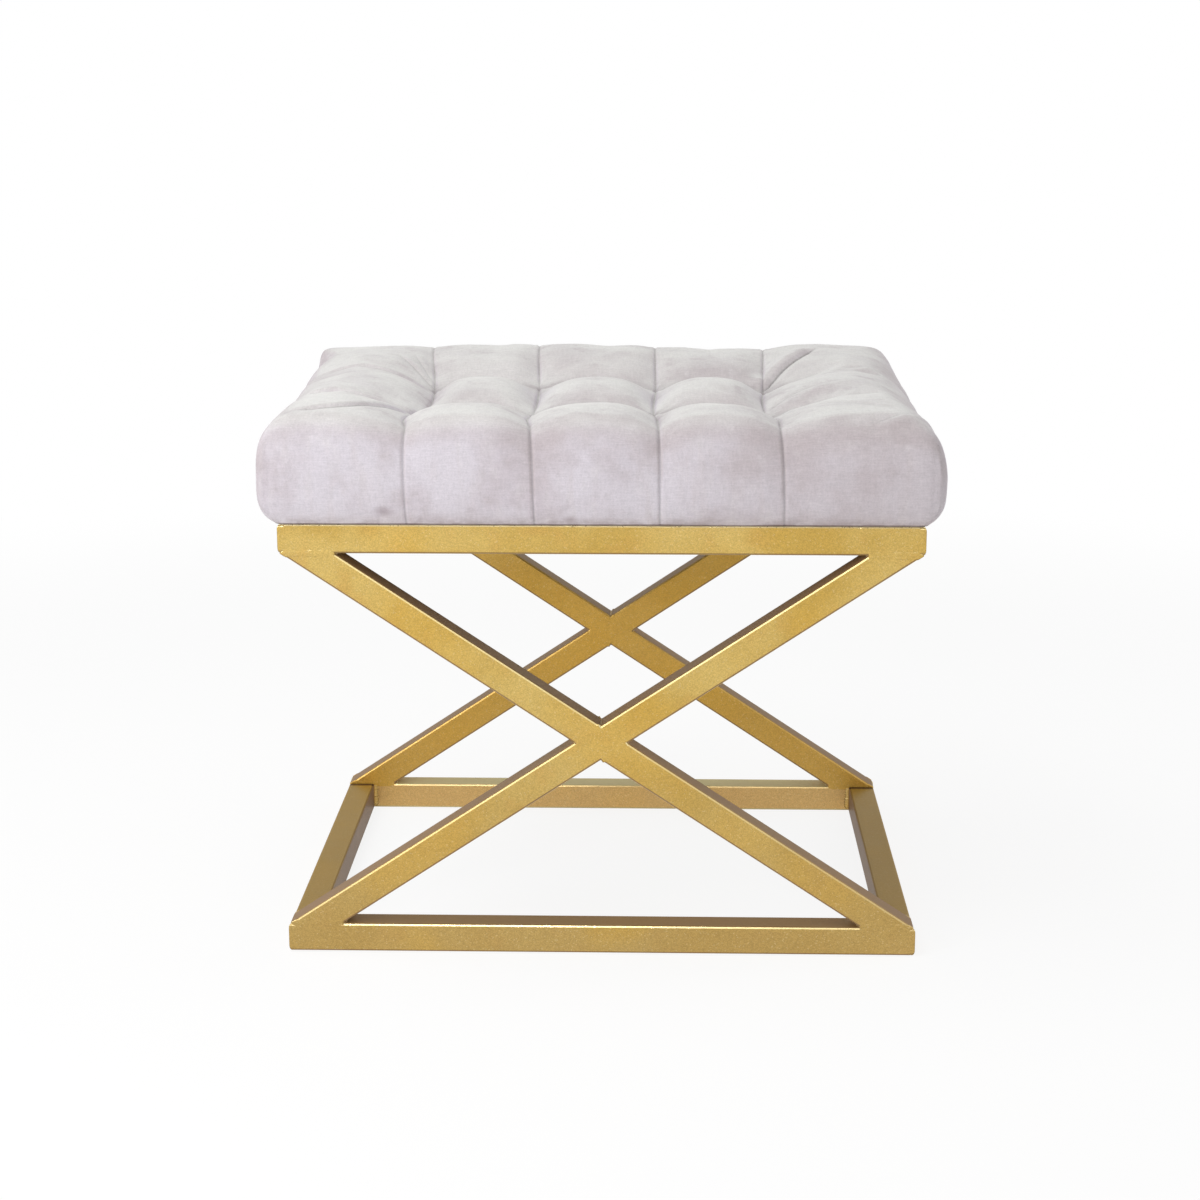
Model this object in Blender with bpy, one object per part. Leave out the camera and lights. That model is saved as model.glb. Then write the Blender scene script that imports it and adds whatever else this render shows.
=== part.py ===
"""Tufted bench pouf: a biscuit-tufted velvet seat on a welded frame of square steel tube.

The origin is on the floor under the middle of the pouf. +X runs along its width, the front faces -Y and +Z is
up. The front and the back of the frame are each a flat X between two rails, and four side rails join the two.
"""

import math

import bmesh
import bpy
from mathutils import Vector

# Driving dimensions of the frame, in metres
FRAME_WIDTH = 0.470
FRAME_DEPTH = 0.370
FRAME_HEIGHT = 0.330
TUBE_SIZE = 0.022
TUBE_WALL = 0.0012
TUBE_CORNER = 0.0015
CAP_THICKNESS = 0.0015
JOINT_GAP = 0.0003

# Driving dimensions of the seat
SEAT_HEIGHT = 0.090
SEAT_OVERHANG = 0.015
BULGE_HEIGHT = 0.037
SHOULDER_INSET = 0.038
CORNER_RADIUS = 0.020
SEAT_DISH = 0.004
SEAM_PITCH = 0.092
SEAM_COUNT = 4
ROW_PITCH = 0.1333
ROW_COUNT = 2
CREASE_DEPTH = 0.012
TUFT_PULL = 0.015
TUFT_REACH = 0.020
OUTER_CREASE_REACH = 0.080
SIDE_CREASE = 0.003
SIDE_CREASE_REACH = 0.020
COVER_THICKNESS = 0.0015
COVER_TURN_IN = 0.028
WADDING_THICKNESS = 0.003
BOARD_THICKNESS = 0.015
FOAM_WRAP = 0.008

# Driving dimensions of what holds the seat together
TWINE_DIAMETER = 0.0016
KNOT_DIAMETER = 0.006
KNOT_HEIGHT = 0.0022
BOARD_BORE_CLEARANCE = 0.0034
WASHER_DIAMETER = 0.020
WASHER_BORE_CLEARANCE = 0.0009
WASHER_THICKNESS = 0.001
SCREW_DIAMETER = 0.004
SCREW_BITE = 0.010
SCREW_POINT = 0.003
SCREW_HOLE_CLEARANCE = 0.0005
SCREW_END_DISTANCE = 0.055
HEAD_DIAMETER = 0.008
HEAD_HEIGHT = 0.0025
HEAD_CLEARANCE = 0.001
CLOTH_THICKNESS = 0.0006
CLOTH_CLEARANCE = 0.001
CLOTH_FLAT_EDGE = 0.010
CLOTH_SLOPE = 0.014
CLOTH_KNOT_CLEARANCE = 0.0018
CLOTH_CORNER = 0.006
CUT_MARGIN = 0.001

# How fully a crease still shows where its seam reaches the edge of the seat
SEAM_FADE = 0.5
ROW_FADE = 0.3

# How wide the flat crown of a round end is, as a share of the whole: a knot's and a screw head's
KNOT_CROWN = 0.6
HEAD_CROWN = 0.7

# Fineness of the faceted shapes
CORNER_STEPS = 2
TIE_SIDES = 8
FASTENER_SIDES = 12
INNER_PANEL_LINES = (0.15, 0.5, 0.85)
OUTER_PANEL_LINES = (0.13, 0.38, 0.66)
SHOULDER_ANGLES = (20.0, 45.0, 70.0)
SHOULDER_FULLNESS = 2.5
UNDERCUT_FULLNESS = 2.2

# Levels and places that follow from the dimensions above
SEAT_UNDERSIDE = FRAME_HEIGHT + JOINT_GAP
SEAT_TOP = FRAME_HEIGHT + SEAT_HEIGHT
BULGE_LEVEL = FRAME_HEIGHT + BULGE_HEIGHT
TURN_IN_TOP = SEAT_UNDERSIDE + COVER_THICKNESS
BOARD_BOTTOM = TURN_IN_TOP + JOINT_GAP
BOARD_TOP = BOARD_BOTTOM + BOARD_THICKNESS
BOARD_INSET = COVER_THICKNESS + JOINT_GAP
FOAM_RIM = BOARD_TOP - FOAM_WRAP
WASHER_TOP = BOARD_BOTTOM - JOINT_GAP
KNOT_FOOT = WASHER_TOP - WASHER_THICKNESS - JOINT_GAP - KNOT_HEIGHT
CLOTH_LEVEL = KNOT_FOOT - CLOTH_KNOT_CLEARANCE
WADDING_DEPTH = COVER_THICKNESS + JOINT_GAP
FOAM_DEPTH = WADDING_DEPTH + WADDING_THICKNESS + JOINT_GAP
SEAT_HALF = (FRAME_WIDTH / 2 + SEAT_OVERHANG, FRAME_DEPTH / 2 + SEAT_OVERHANG)
SEAMS = [(i - (SEAM_COUNT - 1) / 2) * SEAM_PITCH for i in range(SEAM_COUNT)]
ROWS = [(i - (ROW_COUNT - 1) / 2) * ROW_PITCH for i in range(ROW_COUNT)]
TUFTS = [(x, y) for y in ROWS for x in SEAMS]

AXIS_X = Vector((1, 0, 0))
AXIS_Y = Vector((0, 1, 0))
AXIS_Z = Vector((0, 0, 1))


def clear_scene():
    for old in list(bpy.data.objects):
        bpy.data.objects.remove(old, do_unlink=True)


def finish(name, colour, roughness, metallic=0.0):
    """A plain finish: one shader with the colour, roughness and metallic value of the real surface."""
    material = bpy.data.materials.new(name)
    material.use_nodes = True
    shader = material.node_tree.nodes["Principled BSDF"]
    shader.inputs["Base Color"].default_value = (*colour, 1)
    shader.inputs["Roughness"].default_value = roughness
    shader.inputs["Metallic"].default_value = metallic
    material.diffuse_color = (*colour, 1)
    return material


def solid(name, bm, material, smooth_angle=30.0):
    """Turns a bmesh into a named object, smooth where its faces meet at a small angle."""
    bmesh.ops.recalc_face_normals(bm, faces=bm.faces)
    mesh = bpy.data.meshes.new(name)
    bm.to_mesh(mesh)
    bm.free()
    mesh.shade_smooth()
    mesh.set_sharp_from_angle(angle=math.radians(smooth_angle))
    obj = bpy.data.objects.new(name, mesh)
    bpy.context.scene.collection.objects.link(obj)
    if material:
        obj.data.materials.append(material)
    return obj


def cutter(name, bm):
    """A shape that only cuts others: it is left out of the model itself."""
    obj = solid(name, bm, None)
    obj.hide_render = True
    obj.display_type = "WIRE"
    return obj


def cut(obj, tool):
    modifier = obj.modifiers.new(tool.name, "BOOLEAN")
    modifier.operation = "DIFFERENCE"
    modifier.solver = "EXACT"
    modifier.object = tool


def add_loop(bm, points):
    return [bm.verts.new(point) for point in points]


def join_loops(bm, first, second):
    """A closed band of four-sided faces between two loops of as many points."""
    for here in range(len(first)):
        after = (here + 1) % len(first)
        bm.faces.new((first[here], first[after], second[after], second[here]))


def rounded_rectangle(half_x, half_y, radius, steps):
    """Points of a rectangle with round corners, anticlockwise from its right-hand side."""
    points = []
    for quarter, (sign_x, sign_y) in enumerate(((1, 1), (-1, 1), (-1, -1), (1, -1))):
        centre = Vector((sign_x * (half_x - radius), sign_y * (half_y - radius)))
        for step in range(steps + 1):
            angle = math.pi / 2 * (quarter + step / steps)
            points.append(centre + radius * Vector((math.cos(angle), math.sin(angle))))
    return points


def circle(radius, height, place, sides):
    turns = [2 * math.pi * i / sides for i in range(sides)]
    return [(place[0] + radius * math.cos(a), place[1] + radius * math.sin(a), height) for a in turns]


def add_turned(bm, profile, place, sides):
    """A turned shape about a vertical axis. The profile lists (radius, height) from its foot to its top."""
    rows = []
    for radius, height in profile:
        points = circle(radius, height, place, sides) if radius else [(place[0], place[1], height)]
        rows.append(add_loop(bm, points))
    for lower, upper in zip(rows, rows[1:]):
        if len(lower) > 1 and len(upper) > 1:
            join_loops(bm, lower, upper)
            continue
        pole, ring = (lower[0], upper) if len(lower) == 1 else (upper[0], lower)
        for here in range(sides):
            bm.faces.new((pole, ring[here], ring[(here + 1) % sides]))


def add_cylinder(bm, radius, bottom, top, place, sides=FASTENER_SIDES):
    add_turned(bm, [(0, bottom), (radius, bottom), (radius, top), (0, top)], place, sides)


def square_tube(name, material, centre, along, across, start, end):
    """A hollow square tube through centre, trimmed by two planes that are each given as (point, normal)."""
    rise = along.cross(across)
    half = TUBE_SIZE / 2
    bore_corner = max(TUBE_CORNER - TUBE_WALL, TUBE_CORNER / 10)
    bm = bmesh.new()
    loops = []
    for half_size, corner in ((half, TUBE_CORNER), (half - TUBE_WALL, bore_corner)):
        profile = rounded_rectangle(half_size, half_size, corner, CORNER_STEPS)
        for point, normal in (start, end):
            loop = []
            for side, height in profile:
                edge = centre + side * across + height * rise
                edge = edge + along * ((point - edge).dot(normal) / along.dot(normal))
                loop.append(edge)
            loops.append(add_loop(bm, loop))
    outer_start, outer_end, bore_start, bore_end = loops
    join_loops(bm, outer_start, outer_end)
    join_loops(bm, outer_end, bore_end)
    join_loops(bm, bore_end, bore_start)
    join_loops(bm, bore_start, outer_start)
    return solid(name, bm, material)


def cross_rail(name, material, y, z):
    """A rail along the width, short enough for a closing plate on each end."""
    reach = FRAME_WIDTH / 2 - CAP_THICKNESS - JOINT_GAP
    centre = Vector((0, y, z))
    start = (centre - reach * AXIS_X, AXIS_X)
    end = (centre + reach * AXIS_X, AXIS_X)
    return square_tube(name, material, centre, AXIS_X, AXIS_Y, start, end)


def side_rail(name, material, side, z):
    """A rail from front to back, cut to fit between the cross rails and flush with their ends."""
    reach = FRAME_DEPTH / 2 - TUBE_SIZE - JOINT_GAP
    centre = Vector((side * (FRAME_WIDTH - TUBE_SIZE) / 2, 0, z))
    start = (centre - reach * AXIS_Y, AXIS_Y)
    end = (centre + reach * AXIS_Y, AXIS_Y)
    return square_tube(name, material, centre, AXIS_Y, AXIS_X, start, end)


def end_cap(name, material, side, y, z):
    """The plate welded over a cross rail's open end."""
    half = TUBE_SIZE / 2
    outer = side * FRAME_WIDTH / 2
    inner = side * (FRAME_WIDTH / 2 - CAP_THICKNESS)
    outline = rounded_rectangle(half, half, TUBE_CORNER, CORNER_STEPS)
    bm = bmesh.new()
    faces = [add_loop(bm, [(x, y + p.x, z + p.y) for p in outline]) for x in (inner, outer)]
    join_loops(bm, *faces)
    for loop in faces:
        bm.faces.new(loop)
    return solid(name, bm, material)


def brace_angle():
    """The slope of a brace whose outer edge runs from one rail's end corner to the opposite one."""
    inner_height = FRAME_HEIGHT - 2 * TUBE_SIZE
    diagonal = math.hypot(FRAME_WIDTH, inner_height)
    return math.atan2(inner_height, FRAME_WIDTH) + math.asin(TUBE_SIZE / diagonal)


def crossed_braces(place, material, y, lean):
    """One brace that runs through and two half braces cut against its sides. lean mirrors the X sideways."""
    slope = brace_angle()
    middle = Vector((0, y, FRAME_HEIGHT / 2))
    through = Vector((lean * math.cos(slope), 0, math.sin(slope)))
    halved = Vector((-lean * math.cos(slope), 0, math.sin(slope)))
    side_normal = Vector((-lean * math.sin(slope), 0, math.cos(slope)))
    foot = (Vector((0, y, TUBE_SIZE + JOINT_GAP)), AXIS_Z)
    head = (Vector((0, y, FRAME_HEIGHT - TUBE_SIZE - JOINT_GAP)), AXIS_Z)
    half = TUBE_SIZE / 2 + JOINT_GAP
    above = (middle + half * side_normal, side_normal)
    below = (middle - half * side_normal, side_normal)
    square_tube(f"{place}_through_brace", material, middle, through, AXIS_Y, foot, head)
    square_tube(f"{place}_upper_half_brace", material, middle, halved, AXIS_Y, above, head)
    square_tube(f"{place}_lower_half_brace", material, middle, halved, AXIS_Y, foot, below)


def screw_places():
    """Where the seat screws stand: on the middle line of each top side rail, near its two ends."""
    x = (FRAME_WIDTH - TUBE_SIZE) / 2
    y = FRAME_DEPTH / 2 - SCREW_END_DISTANCE
    return [(side_x * x, side_y * y) for side_x in (-1, 1) for side_y in (-1, 1)]


def frame(material):
    """The welded frame: two X panels, the side rails and the closing plates."""
    half = TUBE_SIZE / 2
    levels = {"bottom": half, "top": FRAME_HEIGHT - half}
    for place, direction in (("front", -1), ("rear", 1)):
        y = direction * (FRAME_DEPTH - TUBE_SIZE) / 2
        for level, z in levels.items():
            cross_rail(f"{place}_{level}_rail", material, y, z)
            for hand, side in (("left", -1), ("right", 1)):
                end_cap(f"{place}_{level}_{hand}_cap", material, side, y, z)
        crossed_braces(place, material, y, lean=-direction)
    for hand, side in (("left", -1), ("right", 1)):
        side_rail(f"{hand}_bottom_side_rail", material, side, levels["bottom"])
        rail = side_rail(f"{hand}_top_side_rail", material, side, levels["top"])
        cut(rail, screw_holes_in_rail(hand, side))


def screw_holes_in_rail(hand, side):
    """A small hole for each screw in the upper wall, and one below it that lets the head and driver in."""
    bm = bmesh.new()
    shank_hole = SCREW_DIAMETER / 2 + SCREW_HOLE_CLEARANCE
    head_hole = HEAD_DIAMETER / 2 + HEAD_CLEARANCE
    middle = FRAME_HEIGHT - TUBE_SIZE / 2
    for place in screw_places():
        if place[0] * side > 0:
            profile = [
                (0, FRAME_HEIGHT - TUBE_SIZE - CUT_MARGIN),
                (head_hole, FRAME_HEIGHT - TUBE_SIZE - CUT_MARGIN),
                (head_hole, middle),
                (shank_hole, middle),
                (shank_hole, FRAME_HEIGHT + CUT_MARGIN),
                (0, FRAME_HEIGHT + CUT_MARGIN),
            ]
            add_turned(bm, profile, place, FASTENER_SIDES)
    return cutter(f"{hand}_rail_hole_cutter", bm)


def seat_screw(name, material, place):
    """A pan-head screw: its head is inside the rail and its shank goes up through the wall into the board."""
    seat = FRAME_HEIGHT - TUBE_WALL - JOINT_GAP
    tip = BOARD_BOTTOM + SCREW_BITE
    shank = SCREW_DIAMETER / 2
    head = HEAD_DIAMETER / 2
    profile = [
        (0, seat - HEAD_HEIGHT),
        (head * HEAD_CROWN, seat - HEAD_HEIGHT),
        (head, seat - HEAD_HEIGHT / 2),
        (head, seat),
        (shank, seat),
        (shank, tip - SCREW_POINT),
        (0, tip),
    ]
    bm = bmesh.new()
    add_turned(bm, profile, place, FASTENER_SIDES)
    return solid(name, bm, material)


class SeatForm:
    """The seat's outer surface as a grid that follows its seams.

    The top is a grid of points. Rings go from the rim of that grid over the shoulder and down to the underside.
    Every layer of the seat is this surface moved inwards, so cover, wadding and foam nest with an even gap.
    """

    def __init__(self):
        self.top_half = [half - SHOULDER_INSET for half in SEAT_HALF]
        self.lines_x = self.grid_lines(SEAMS, 0)
        self.lines_y = self.grid_lines(ROWS, 1)
        self.rim = self.rim_of_grid()
        self.top = {}
        for i, x in enumerate(self.lines_x):
            for j, y in enumerate(self.lines_y):
                self.top[i, j] = Vector((x, y, self.top_level(x, y)))
        lift = SEAT_TOP - max(point.z for point in self.top.values())
        for point in self.top.values():
            point.z += lift
        self.rings = self.make_rings()
        self.set_normals()

    def grid_lines(self, seams, axis):
        """Lines across the top on each seam and between seams, closer together near seams and corners."""
        half = self.top_half[axis]
        round_part = CORNER_RADIUS / (SEAT_HALF[axis] - seams[-1])
        outer = (0, *OUTER_PANEL_LINES, 1 - round_part, 1 - round_part / 2, 1)
        lines = [seams[-1] + (half - seams[-1]) * part for part in outer]
        for left, right in zip(seams, seams[1:]):
            lines += [left + (right - left) * part for part in (0, *INNER_PANEL_LINES)]
        lines += [seams[0] - (half + seams[0]) * part for part in outer]
        return sorted(set(lines))

    def rim_of_grid(self):
        """The grid's outer points, anticlockwise from the front left corner."""
        last_x = len(self.lines_x) - 1
        last_y = len(self.lines_y) - 1
        front = [(i, 0) for i in range(last_x)]
        right = [(last_x, j) for j in range(last_y)]
        back = [(last_x - i, last_y) for i in range(last_x)]
        left = [(0, last_y - j) for j in range(last_y)]
        return front + right + back + left

    def crease(self, place, along, axis, fade):
        """How deep a place lies in the nearest crease, from 0 to 1. A crease fades towards the edge."""
        seams, pitch, crossings = ((SEAMS, SEAM_PITCH, ROWS), (ROWS, ROW_PITCH, SEAMS))[axis]
        nearest = min(abs(place - seam) for seam in seams)
        edge_reach = min(OUTER_CREASE_REACH, self.top_half[axis] - seams[-1])
        reach = pitch / 2 if abs(place) < seams[-1] else edge_reach
        valley = max(0.0, 1 - nearest / reach) ** 2
        run_out = (abs(along) - crossings[-1]) / (self.top_half[1 - axis] - crossings[-1])
        return valley * (1 - (1 - fade) * max(0.0, run_out))

    def top_level(self, x, y):
        """Height of the top at a place, measured down from a flat seat."""
        edge_x, edge_y = self.top_half
        column = self.crease(x, y, 0, SEAM_FADE)
        row = self.crease(y, x, 1, ROW_FADE)
        tuft = min(math.hypot(x - tuft_x, y - tuft_y) for tuft_x, tuft_y in TUFTS)
        pull = TUFT_PULL * math.exp(-tuft / TUFT_REACH)
        dish = SEAT_DISH * (1 - (x / edge_x) ** 2) * (1 - (y / edge_y) ** 2)
        return -CREASE_DEPTH * (1 - (1 - column) * (1 - row)) - pull - dish

    def ring_point(self, node, inset, level):
        """The rim point of one grid node, moved to a ring that lies this far inside the widest outline."""
        half_x, half_y = (half - inset for half in SEAT_HALF)
        radius = CORNER_RADIUS * (1 - inset / SHOULDER_INSET)
        x = self.stretch(self.lines_x[node[0]], SEAMS[-1], self.top_half[0], half_x)
        y = self.stretch(self.lines_y[node[1]], ROWS[-1], self.top_half[1], half_y)
        on_side = node[0] in (0, len(self.lines_x) - 1)
        if radius > 0 and not on_side and abs(x) > half_x - radius:
            turn = (abs(x) - half_x + radius) / radius * math.pi / 4
            x = math.copysign(half_x - radius + radius * math.sin(turn), x)
            y = math.copysign(half_y - radius + radius * math.cos(turn), y)
        elif radius > 0 and on_side and abs(y) > half_y - radius:
            turn = (abs(y) - half_y + radius) / radius * math.pi / 4
            y = math.copysign(half_y - radius + radius * math.sin(turn), y)
            x = math.copysign(half_x - radius + radius * math.cos(turn), x)
        return Vector((x, y, level))

    def stretch(self, place, last_seam, old_edge, new_edge):
        """Moves a place beyond the last seam in proportion to the new edge, so that seams stay straight."""
        if abs(place) <= last_seam:
            return place
        part = (abs(place) - last_seam) / (old_edge - last_seam)
        return math.copysign(last_seam + part * (new_edge - last_seam), place)

    def side_dent(self, node, strength):
        """How far a seam pulls the side in at one rim node, as a vector."""
        x, y = self.lines_x[node[0]], self.lines_y[node[1]]
        if node[1] in (0, len(self.lines_y) - 1):
            nearest = min(abs(x - seam) for seam in SEAMS)
            inward = Vector((0, -math.copysign(1, y), 0))
        else:
            nearest = min(abs(y - row) for row in ROWS)
            inward = Vector((-math.copysign(1, x), 0, 0))
        return inward * SIDE_CREASE * strength * max(0.0, 1 - nearest / SIDE_CREASE_REACH)

    def make_rings(self):
        """Rings of points from the underside up to just below the rim of the top grid."""
        rings = []
        for level in (SEAT_UNDERSIDE, FOAM_RIM, BULGE_LEVEL):
            below = (BULGE_LEVEL - level) / (BULGE_LEVEL - SEAT_UNDERSIDE)
            inset = SEAT_OVERHANG * below**UNDERCUT_FULLNESS
            ring = [self.ring_point(node, inset, level) for node in self.rim]
            dents = [self.side_dent(node, 1 - below) for node in self.rim]
            rings.append([point + dent for point, dent in zip(ring, dents)])
        power = 2 / SHOULDER_FULLNESS
        for angle in SHOULDER_ANGLES:
            out = math.cos(math.radians(angle)) ** power
            up = math.sin(math.radians(angle)) ** power
            ring = []
            for node in self.rim:
                level = BULGE_LEVEL + (self.top[node].z - BULGE_LEVEL) * up
                point = self.ring_point(node, SHOULDER_INSET * (1 - out), level)
                ring.append(point + self.side_dent(node, out))
            rings.append(ring)
        return rings

    def triangles(self):
        """The faces of the top, as node keys. Their diagonals point at the nearest tuft, as its pleats do."""
        faces = []
        for i in range(len(self.lines_x) - 1):
            for j in range(len(self.lines_y) - 1):
                x = (self.lines_x[i] + self.lines_x[i + 1]) / 2
                y = (self.lines_y[j] + self.lines_y[j + 1]) / 2
                tuft = min(TUFTS, key=lambda t: math.hypot(x - t[0], y - t[1]))
                corners = [(i, j), (i + 1, j), (i + 1, j + 1), (i, j + 1)]
                if (x - tuft[0]) * (y - tuft[1]) < 0:
                    corners = corners[1:] + corners[:1]
                a, b, c, d = corners
                faces += [(a, b, c), (a, c, d)]
        return faces

    def bands(self):
        """The rings from the bottom up, as node keys, ending with the rim of the top grid."""
        count = len(self.rim)
        keys = [[("ring", level, k) for k in range(count)] for level in range(len(self.rings))]
        return keys + [self.rim]

    def points(self):
        placed = dict(self.top)
        for level, ring in enumerate(self.rings):
            for k, point in enumerate(ring):
                placed["ring", level, k] = point
        return placed

    def set_normals(self):
        """Outward directions at every node. They are horizontal up to the widest level: those rings stay level."""
        bm = bmesh.new()
        verts = self.add_surface(bm, self.points(), self.bands())
        bm.normal_update()
        self.normals = {key: vert.normal.copy() for key, vert in verts.items()}
        bm.free()
        count = len(self.rim)
        for level, ring in enumerate(self.rings):
            if ring[0].z > BULGE_LEVEL:
                continue
            for k in range(count):
                run = ring[(k + 1) % count] - ring[k - 1]
                self.normals["ring", level, k] = Vector((run.y, -run.x, 0)).normalized()

    def add_surface(self, bm, points, bands):
        """Adds the top and these bands of the side to a bmesh, as triangles with outward faces."""
        verts = {key: bm.verts.new(point) for key, point in points.items()}
        for face in self.triangles():
            bm.faces.new([verts[key] for key in face])
        count = len(self.rim)
        for lower, upper in zip(bands, bands[1:]):
            for k in range(count):
                after = (k + 1) % count
                a, b, c, d = (verts[key] for key in (lower[k], lower[after], upper[after], upper[k]))
                bm.faces.new((a, b, c))
                bm.faces.new((a, c, d))
        return verts

    def side_loop(self, level, depth):
        """A level loop round the side at this depth, between the two rings next to it."""
        number = max(n for n, ring in enumerate(self.rings) if ring[0].z <= level + JOINT_GAP / 100)
        number = min(number, len(self.rings) - 2)
        lower, upper = self.rings[number], self.rings[number + 1]
        part = (level - lower[0].z) / (upper[0].z - lower[0].z)
        loop = []
        for k in range(len(self.rim)):
            normal = self.normals["ring", number, k].lerp(self.normals["ring", number + 1, k], part)
            loop.append(lower[k].lerp(upper[k], part) - depth * normal)
        return loop

    def add_layer(self, bm, depth, stop):
        """Adds the surface at a depth under the outside, down to the level stop. Gives its lowest loop."""
        kept = [n for n, ring in enumerate(self.rings) if ring[0].z > stop + JOINT_GAP / 100]
        points = {key: point - depth * self.normals[key] for key, point in self.points().items()}
        points = {key: point for key, point in points.items() if key[0] != "ring" or key[1] in kept}
        foot = [("foot", k) for k in range(len(self.rim))]
        points.update(zip(foot, self.side_loop(stop, depth)))
        kept_bands = [band for n, band in enumerate(self.bands()) if n in kept or n == len(self.rings)]
        verts = self.add_surface(bm, points, [foot] + kept_bands)
        return [verts[key] for key in foot]

    def board_outline(self, clearance):
        """The outline of the seat board, which fills the foot of the cover, moved out by a clearance."""
        return self.side_loop(SEAT_UNDERSIDE, BOARD_INSET - clearance)

    def tuft_level(self, place):
        """The height of the surface at the bottom of a tuft."""
        return min(self.top.values(), key=lambda p: math.hypot(p.x - place[0], p.y - place[1])).z


def turned_in(loop, level):
    """The edge of the cover where it is turned in under the seat: the loop, drawn in towards the middle."""
    half_x = FRAME_WIDTH / 2
    half_y = FRAME_DEPTH / 2
    return [(p.x * (1 - COVER_TURN_IN / half_x), p.y * (1 - COVER_TURN_IN / half_y), level) for p in loop]


def velvet_cover(form, material):
    """The sewn cover, open underneath. Its edge is turned in under the board, where the screws pass through."""
    bm = bmesh.new()
    outside = form.add_layer(bm, 0, SEAT_UNDERSIDE)
    inside = form.add_layer(bm, COVER_THICKNESS, TURN_IN_TOP)
    base = form.side_loop(SEAT_UNDERSIDE, 0)
    outer_edge = add_loop(bm, turned_in(base, SEAT_UNDERSIDE))
    inner_edge = add_loop(bm, turned_in(base, TURN_IN_TOP))
    join_loops(bm, outside, outer_edge)
    join_loops(bm, outer_edge, inner_edge)
    join_loops(bm, inner_edge, inside)
    cover = solid("velvet_cover", bm, material, 40.0)
    holes = bmesh.new()
    for place in screw_places():
        radius = SCREW_DIAMETER / 2 + SCREW_HOLE_CLEARANCE
        add_cylinder(holes, radius, SEAT_UNDERSIDE - CUT_MARGIN, TURN_IN_TOP + CUT_MARGIN, place)
    cut(cover, cutter("cover_hole_cutter", holes))


def wadding(form, material):
    """The soft layer between cover and foam. It ends with the foam, part-way down the board's edge."""
    bm = bmesh.new()
    outside = form.add_layer(bm, WADDING_DEPTH, FOAM_RIM)
    inside = form.add_layer(bm, WADDING_DEPTH + WADDING_THICKNESS, FOAM_RIM)
    join_loops(bm, outside, inside)
    cut(solid("wadding", bm, material, 40.0), wadding_hole_cutter())


def foam_pad(form, material):
    """The foam block, with a recess underneath that the board sits in."""
    bm = bmesh.new()
    outside = form.add_layer(bm, FOAM_DEPTH, FOAM_RIM)
    outline = form.board_outline(JOINT_GAP)
    recess_foot = add_loop(bm, [(p.x, p.y, FOAM_RIM) for p in outline])
    recess_top = add_loop(bm, [(p.x, p.y, BOARD_TOP + JOINT_GAP) for p in outline])
    join_loops(bm, outside, recess_foot)
    join_loops(bm, recess_foot, recess_top)
    bm.faces.new(recess_top)
    cut(solid("foam_pad", bm, material, 40.0), foam_channel_cutter(form))


def wadding_hole_cutter():
    """One cutter for all tufts: the knots lie in round holes through the wadding."""
    bm = bmesh.new()
    for place in TUFTS:
        add_cylinder(bm, KNOT_DIAMETER / 2 + JOINT_GAP, FOAM_RIM, SEAT_TOP, place, TIE_SIDES)
    return cutter("wadding_hole_cutter", bm)


def foam_channel_cutter(form):
    """One cutter for all tufts: a narrow channel for the twine, and at its top a wider one for the knot."""
    bm = bmesh.new()
    narrow = TWINE_DIAMETER / 2 + JOINT_GAP
    wide = KNOT_DIAMETER / 2 + JOINT_GAP
    for place in TUFTS:
        step = knot_top(form, place) - KNOT_HEIGHT - JOINT_GAP
        lower = [(0, FOAM_RIM), (narrow, FOAM_RIM), (narrow, step)]
        profile = lower + [(wide, step), (wide, SEAT_TOP), (0, SEAT_TOP)]
        add_turned(bm, profile, place, TIE_SIDES)
    return cutter("foam_channel_cutter", bm)


def knot_top(form, place):
    return form.tuft_level(place) - COVER_THICKNESS - JOINT_GAP


def seat_board(form, material):
    """The plywood board, with holes for the ties and short pilot holes for the screws."""
    outline = form.board_outline(0)
    bm = bmesh.new()
    faces = [add_loop(bm, [(p.x, p.y, z) for p in outline]) for z in (BOARD_BOTTOM, BOARD_TOP)]
    join_loops(bm, *faces)
    for loop in faces:
        bm.faces.new(loop)
    board = solid("seat_board", bm, material)
    holes = bmesh.new()
    bore = (TWINE_DIAMETER + BOARD_BORE_CLEARANCE) / 2
    for place in TUFTS:
        add_cylinder(holes, bore, BOARD_BOTTOM - CUT_MARGIN, BOARD_TOP + CUT_MARGIN, place)
    pilot = SCREW_DIAMETER / 2 + JOINT_GAP
    for place in screw_places():
        add_cylinder(holes, pilot, BOARD_BOTTOM - CUT_MARGIN, BOARD_BOTTOM + SCREW_BITE + JOINT_GAP, place)
    cut(board, cutter("board_hole_cutter", holes))


def tuft_tie(name, form, material, place):
    """Twine from a knot under the cover, down through foam and board, to a knot under the washer."""
    twine = TWINE_DIAMETER / 2
    knot = KNOT_DIAMETER / 2
    high = knot_top(form, place)
    profile = [
        (0, KNOT_FOOT),
        (knot * KNOT_CROWN, KNOT_FOOT),
        (knot, KNOT_FOOT + KNOT_HEIGHT / 2),
        (twine, KNOT_FOOT + KNOT_HEIGHT),
        (twine, high - KNOT_HEIGHT),
        (knot, high - KNOT_HEIGHT / 2),
        (knot * KNOT_CROWN, high),
        (0, high),
    ]
    bm = bmesh.new()
    add_turned(bm, profile, place, TIE_SIDES)
    return solid(name, bm, material)


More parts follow.
